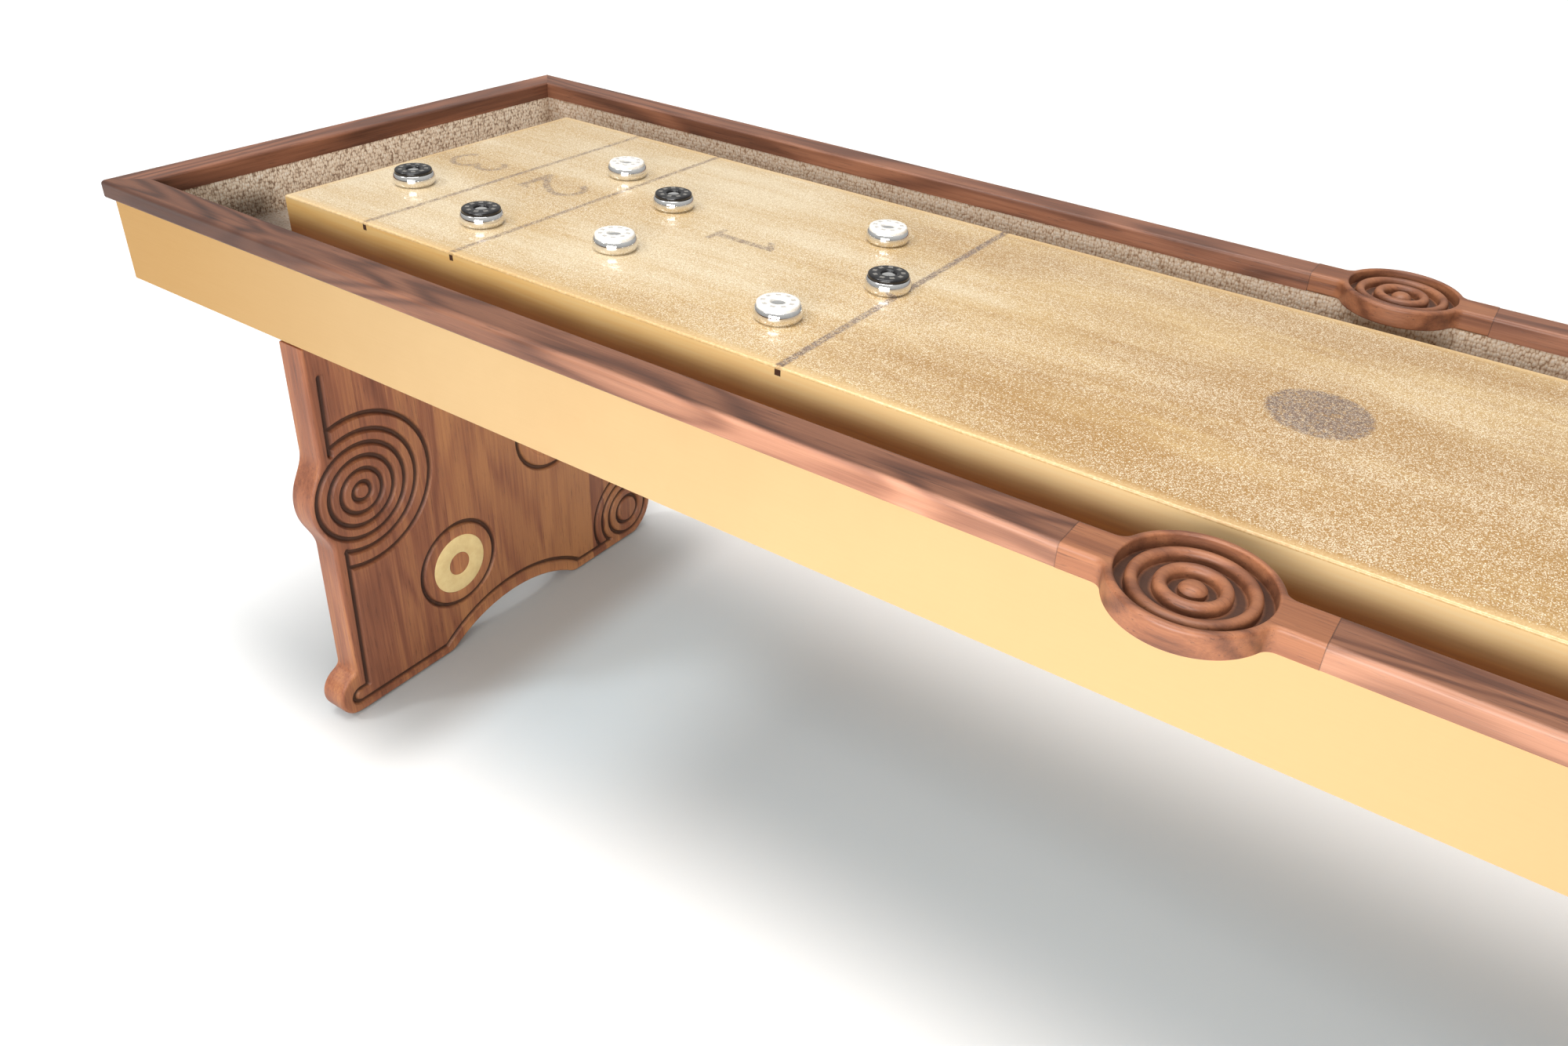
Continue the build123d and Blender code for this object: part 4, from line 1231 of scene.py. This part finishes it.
def arc_pts(cx, cy, r, a0, a1, n, ry=None):
    ry = r if ry is None else ry
    return [(cx + r * math.cos(math.radians(a0 + (a1 - a0) * i / n)),
             cy + ry * math.sin(math.radians(a0 + (a1 - a0) * i / n)))
            for i in range(n + 1)]


def digit_polys(d):
    """Outlines of a numeral, u to the right, v up, 90 mm tall."""
    if d == 1:
        return [[(-5, -45), (5, -45), (5, 45), (-2, 45), (-20, 33),
                 (-20, 25), (-5, 33)],
                [(-19.5, -45), (19.5, -45), (19.5, -38), (-19.5, -38)]]
    if d == 2:
        top = arc_pts(0, 17, 23, 165, -28, 14, 23)
        tail = top + [(9, -12), (-8, -28), (-21, -36)]
        return [stroke(tail, 9.0),
                [(-31, -45), (31, -45), (31, -27), (26, -27), (22, -35),
                 (-31, -35)]]
    up = arc_pts(-2, 22, 19, 155, -75, 12, 19)
    lo = arc_pts(-2, -18, 25, 80, -155, 14, 23)
    return [stroke(up, 7.5), stroke(lo, 7.5)]


V, F, S = [], [], []
for d, off in ((3, 77.0), (2, 228.5), (1, 540.0)):
    polys = digit_polys(d)

    def shape_sdf(p, polys=polys):
        return np.minimum.reduce([poly_sdf(p, q) for q in polys])

    gu, gv = np.meshgrid(np.arange(-40, 40.5, 0.5), np.arange(-55, 55.5, 0.5))
    field = shape_sdf(np.c_[gu.ravel(), gv.ravel()]).reshape(gu.shape)
    loops = []
    for lev in (1.8, -1.0):
        loops += [simplify(l, 0.05, 12.0) for l in contours(field, lev, -40, -55, 0.5)
                  if len(l) > 8]
    q, t = plate_cdt(loops)
    t = t[shape_sdf(q[t].mean(1)) < 1.75]
    soft = 0.62 * np.clip((1.8 - shape_sdf(q)) / 2.8, 0, 1)
    for sx in (-1, 1):
        base = len(V)
        x0 = sx * (PX * 1000 - off)
        V += [((x0 - sx * v) / 1000, sx * u / 1000, MARK_Z) for u, v in q]
        S += list(soft)
        for f in t:
            pa, pb, pc = (V[base + k] for k in f)
            up = (pb[0] - pa[0]) * (pc[1] - pa[1]) - (pb[1] - pa[1]) * (pc[0] - pa[0])
            f = f if up > 0 else f[::-1]
            F.append(tuple(int(k) + base for k in f))
make_object("score_numerals", V, F, m_inlay_top, [(0, 0, 1)] * len(V), {"soft": S},
            slot="inlay")

rs = [0.0, 0.020, 0.0400, 0.0495, 0.0508, 0.0545]
ss = [1.0, 1.0, 1.0, 0.92, 0.75, 0.0]
V, S, F = [(0.0, 0.0, MARK_Z)], [1.0], []
for r, sv in zip(rs[1:], ss[1:]):
    for k in range(96):
        a = 2 * math.pi * k / 96
        V.append((r * math.cos(a), r * math.sin(a), MARK_Z))
        S.append(sv)
for k in range(96):
    F.append((0, 1 + k, 1 + (k + 1) % 96))
    for i in range(len(rs) - 2):
        a, b = 1 + 96 * i, 1 + 96 * (i + 1)
        F.append((a + k, b + k, b + (k + 1) % 96, a + (k + 1) % 96))
make_object("centre_dot", V, F, m_inlay_top, [(0, 0, 1)] * len(V), {"soft": S},
            slot="inlay")


# ---------------------------------------------------------------------------
# Pucks: turned and chromed body, moulded cap with recessed marks
# ---------------------------------------------------------------------------
BODY_PROFILE = [
    (0.01, 0.6), (14.9, 0.6), (15.2, 0.45), (15.8, 0.08), (16.1, 0.0), (23.0, 0.0),
    (23.6, 0.08), (24.4, 0.38), (25.2, 1.1), (25.9, 2.3), (26.5, 3.9), (26.9, 5.6),
    (27.1, 7.4), (27.05, 9.0), (26.8, 10.8), (26.3, 12.4), (25.7, 13.7), (25.0, 14.8),
    (24.75, 15.1), (24.4, 15.32), (24.12, 15.3), (24.0, 15.1), (24.0, 14.5),
    (23.9, 14.4), (8.7, 14.4), (8.6, 14.5), (8.6, 17.3), (8.45, 17.55), (8.2, 17.6),
    (7.4, 17.6), (7.0, 17.5), (4.0, 17.05), (0.01, 16.9)]
CAP_RADII = [
    (8.62, 14.5), (8.62, 17.9), (8.75, 18.6), (9.0, 19.2), (9.5, 19.8), (10.2, 20.2),
    (11.2, 20.45), (12.4, 20.52), (13.4, 20.56), (13.9, 20.58), (14.15, 20.58),
    (14.5, 20.59), (15.1, 20.6), (16.0, 20.6), (17.2, 20.58), (18.4, 20.55),
    (19.05, 20.53), (19.4, 20.52), (19.65, 20.52), (20.2, 20.5), (21.0, 20.44),
    (21.9, 20.3), (22.8, 19.95), (23.4, 19.4), (23.75, 18.7), (23.9, 17.9),
    (23.9, 16.2), (23.75, 15.6), (23.75, 14.5)]


def cap_mesh(n=180):
    a = np.linspace(0, 2 * np.pi, n, endpoint=False)
    V, Q = [], []
    for r, z in CAP_RADII:
        k = np.round(a / np.radians(40)) * np.radians(40)
        side = np.abs(a - k) * r                       # mm from the mark's middle
        q = np.clip((3.1 - side) / 0.45, 0, 1) * np.clip((min(r - 14.0, 19.5 - r)) / 0.45,
                                                         0, 1)
        q = q * q * (3 - 2 * q)
        Q.append(q * np.ones(n))
        V.append(np.c_[r * np.cos(a), r * np.sin(a), z - 0.5 * q * np.ones(n)])
    V = np.vstack(V)
    F = []
    for i in range(len(CAP_RADII) - 1):
        for k in range(n):
            k2 = (k + 1) % n
            F.append((i * n + k, (i + 1) * n + k, (i + 1) * n + k2, i * n + k2))
    return V / 1000, F, np.concatenate(Q)


cap_v, cap_f, cap_q = cap_mesh()
body_v, body_f = lathe([(r / 1000, z / 1000) for r, z in BODY_PROFILE], 96, (0, 0, 0))
PUCK_NAMES = ["puck_black_%d" % i for i in (1, 2, 3, 4)] + [
    "puck_white_%d" % i for i in (1, 2, 3, 4)]
for turn, name in enumerate(PUCK_NAMES):
    lo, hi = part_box(name + "_body")
    mid = ((lo[0] + hi[0]) / 2, (lo[1] + hi[1]) / 2, lo[2])
    spin = math.radians(17.0 * turn)
    rot = np.array([[math.cos(spin), -math.sin(spin), 0],
                    [math.sin(spin), math.cos(spin), 0], [0, 0, 1]])
    make_object(name + "_shell", body_v + np.array(mid), body_f, m_chrome, body=name,
                slot="chrome", replaces=(name + "_body",))
    black = "black" in name
    make_object(name + "_top", cap_v @ rot.T + np.array(mid), cap_f,
                m_cap_black if black else m_cap_white, attrs={"mark": cap_q}, body=name,
                slot="cap_black" if black else "cap_white", replaces=(name + "_cap",))

# ---------------------------------------------------------------------------
# Floor, light, camera
# ---------------------------------------------------------------------------
gf = Graph("studio_floor")
fl = gf.noise(gf.coords(), 1.2, 2.0)
tint = gf.ramp(fl, [(0.3, (0.800, 0.804, 0.800)), (0.7, (0.806, 0.810, 0.806))])
# painted shadow: the floor darker and bluer under the table
shade = gf.ramp(fl, [(0.3, (0.406, 0.452, 0.484)), (0.7, (0.412, 0.458, 0.490))])
ux = gf.math("ABSOLUTE", gf.axis(gf.coords(), "X"))
uy = gf.math("ABSOLUTE", gf.axis(gf.coords(), "Y"))
under = gf.math("MULTIPLY", gf.range(ux, 1.50, 0.60, smooth=True),
                gf.range(uy, 0.50, 0.06, smooth=True))
tint = gf.mix(under, tint, shade)
# painted shadow beside the legs
leg_shadow = gf.math("MULTIPLY", gf.range(gf.math("ABSOLUTE", gf.math("SUBTRACT", ux, 0.98)),
                                        0.36, 0.04, smooth=True),
                   gf.range(uy, 0.42, 0.08, smooth=True))
tint = gf.mix(leg_shadow, tint, (0.605, 0.705, 0.770))
# painted shadow outside the legs, beside the feet
outer = gf.math("MULTIPLY", gf.range(ux, 1.85, 1.25, smooth=True),
                gf.range(ux, 0.99, 1.11, smooth=True))
outer = gf.math("MULTIPLY", outer, gf.range(uy, 0.47, 0.27, smooth=True))
tint = gf.mix(outer, tint, (0.420, 0.436, 0.440))
gf.set(Base_Color=tint, Roughness=0.95)
gf.bsdf.inputs["Specular IOR Level"].default_value = 0.0
me = bpy.data.meshes.new("studio_floor")
me.from_pydata([(-40, -40, 0), (40, -40, 0), (40, 40, 0), (-40, 40, 0)], [], [(0, 1, 2, 3)])
floor = bpy.data.objects.new("studio_floor", me)
floor.data.materials.append(gf.mat)
bpy.context.scene.collection.objects.link(floor)

world = bpy.data.worlds.new("studio")
bpy.context.scene.world = world
world.use_nodes = True
wt = world.node_tree
wt.nodes.clear()
wo = wt.nodes.new("ShaderNodeOutputWorld")
bg = wt.nodes.new("ShaderNodeBackground")
wt.links.new(bg.outputs[0], wo.inputs[0])
# soft light: dim towards the horizon, bright overhead
wc = wt.nodes.new("ShaderNodeTexCoord")
wz = wt.nodes.new("ShaderNodeSeparateXYZ")
wr = wt.nodes.new("ShaderNodeMapRange")
wt.links.new(wc.outputs["Generated"], wz.inputs[0])
wt.links.new(wz.outputs[2], wr.inputs["Value"])
wr.inputs["From Min"].default_value = 0.0
wr.inputs["From Max"].default_value = 1.0
wr.inputs["To Min"].default_value = 0.36
wr.inputs["To Max"].default_value = 0.74
# the backdrop itself is seen as plain pale paper
wp = wt.nodes.new("ShaderNodeLightPath")
wm = wt.nodes.new("ShaderNodeMath")
wm.operation = "MAXIMUM"
wt.links.new(wr.outputs[0], wm.inputs[0])
wt.links.new(wp.outputs["Is Camera Ray"], wm.inputs[1])
wt.links.new(wm.outputs[0], bg.inputs[1])
bg.inputs[0].default_value = (1.0, 1.0, 0.99, 1)


def sun(name, toward, strength, angle, colour=(1, 1, 1)):
    """Distant soft light coming from the direction `toward`."""
    d = bpy.data.lights.new(name, "SUN")
    d.energy = strength
    d.angle = math.radians(angle)
    d.color = colour
    o = bpy.data.objects.new(name, d)
    o.rotation_mode = "QUATERNION"
    o.rotation_quaternion = Vector(toward).to_track_quat("Z", "Y")
    bpy.context.scene.collection.objects.link(o)
    return o


sun("overhead", (-0.05, -0.05, 1.0), 2.0, 36)
sun("key", (-0.65, -0.70, 1.15), 0.28, 24)
sun("lamp", (-0.62, -0.75, 1.05), 0.64, 8)
box = bpy.data.lights.new("softbox", "AREA")
box.shape = "RECTANGLE"
box.size, box.size_y = 1.6, 0.6
box.energy = 42.0
soft = bpy.data.objects.new("softbox", box)
soft.location = (0.05, -1.75, 1.15)
soft.rotation_mode = "QUATERNION"
soft.rotation_quaternion = Vector((0.05, -1.35, 0.40)).to_track_quat("Z", "Y")
bpy.context.scene.collection.objects.link(soft)

cam_data = bpy.data.cameras.new("camera")
cam = bpy.data.objects.new("camera", cam_data)
bpy.context.scene.collection.objects.link(cam)
bpy.context.scene.camera = cam
CAM_RIGHT = (0.83476758, 0.54796986, 0.05377834)
CAM_DOWN = (0.32889645, -0.41792357, -0.84685714)
CAM_FWD = (-0.44157695, 0.72461639, -0.52909440)
cam.matrix_world = Matrix((
    (CAM_RIGHT[0], -CAM_DOWN[0], -CAM_FWD[0], 0.16254),
    (CAM_RIGHT[1], -CAM_DOWN[1], -CAM_FWD[1], -1.15830),
    (CAM_RIGHT[2], -CAM_DOWN[2], -CAM_FWD[2], 1.33886),
    (0, 0, 0, 1)))
cam_data.sensor_width = 36.0
cam_data.sensor_fit = "HORIZONTAL"
cam_data.lens = 28.1188
cam_data.shift_x = -0.03537
cam_data.shift_y = -0.01965
cam_data.clip_start = 0.02
cam_data.clip_end = 200.0

vs = bpy.context.scene.view_settings
vs.view_transform = "Standard"
vs.look = "None"
vs.exposure = 0.0
vs.gamma = 1.0
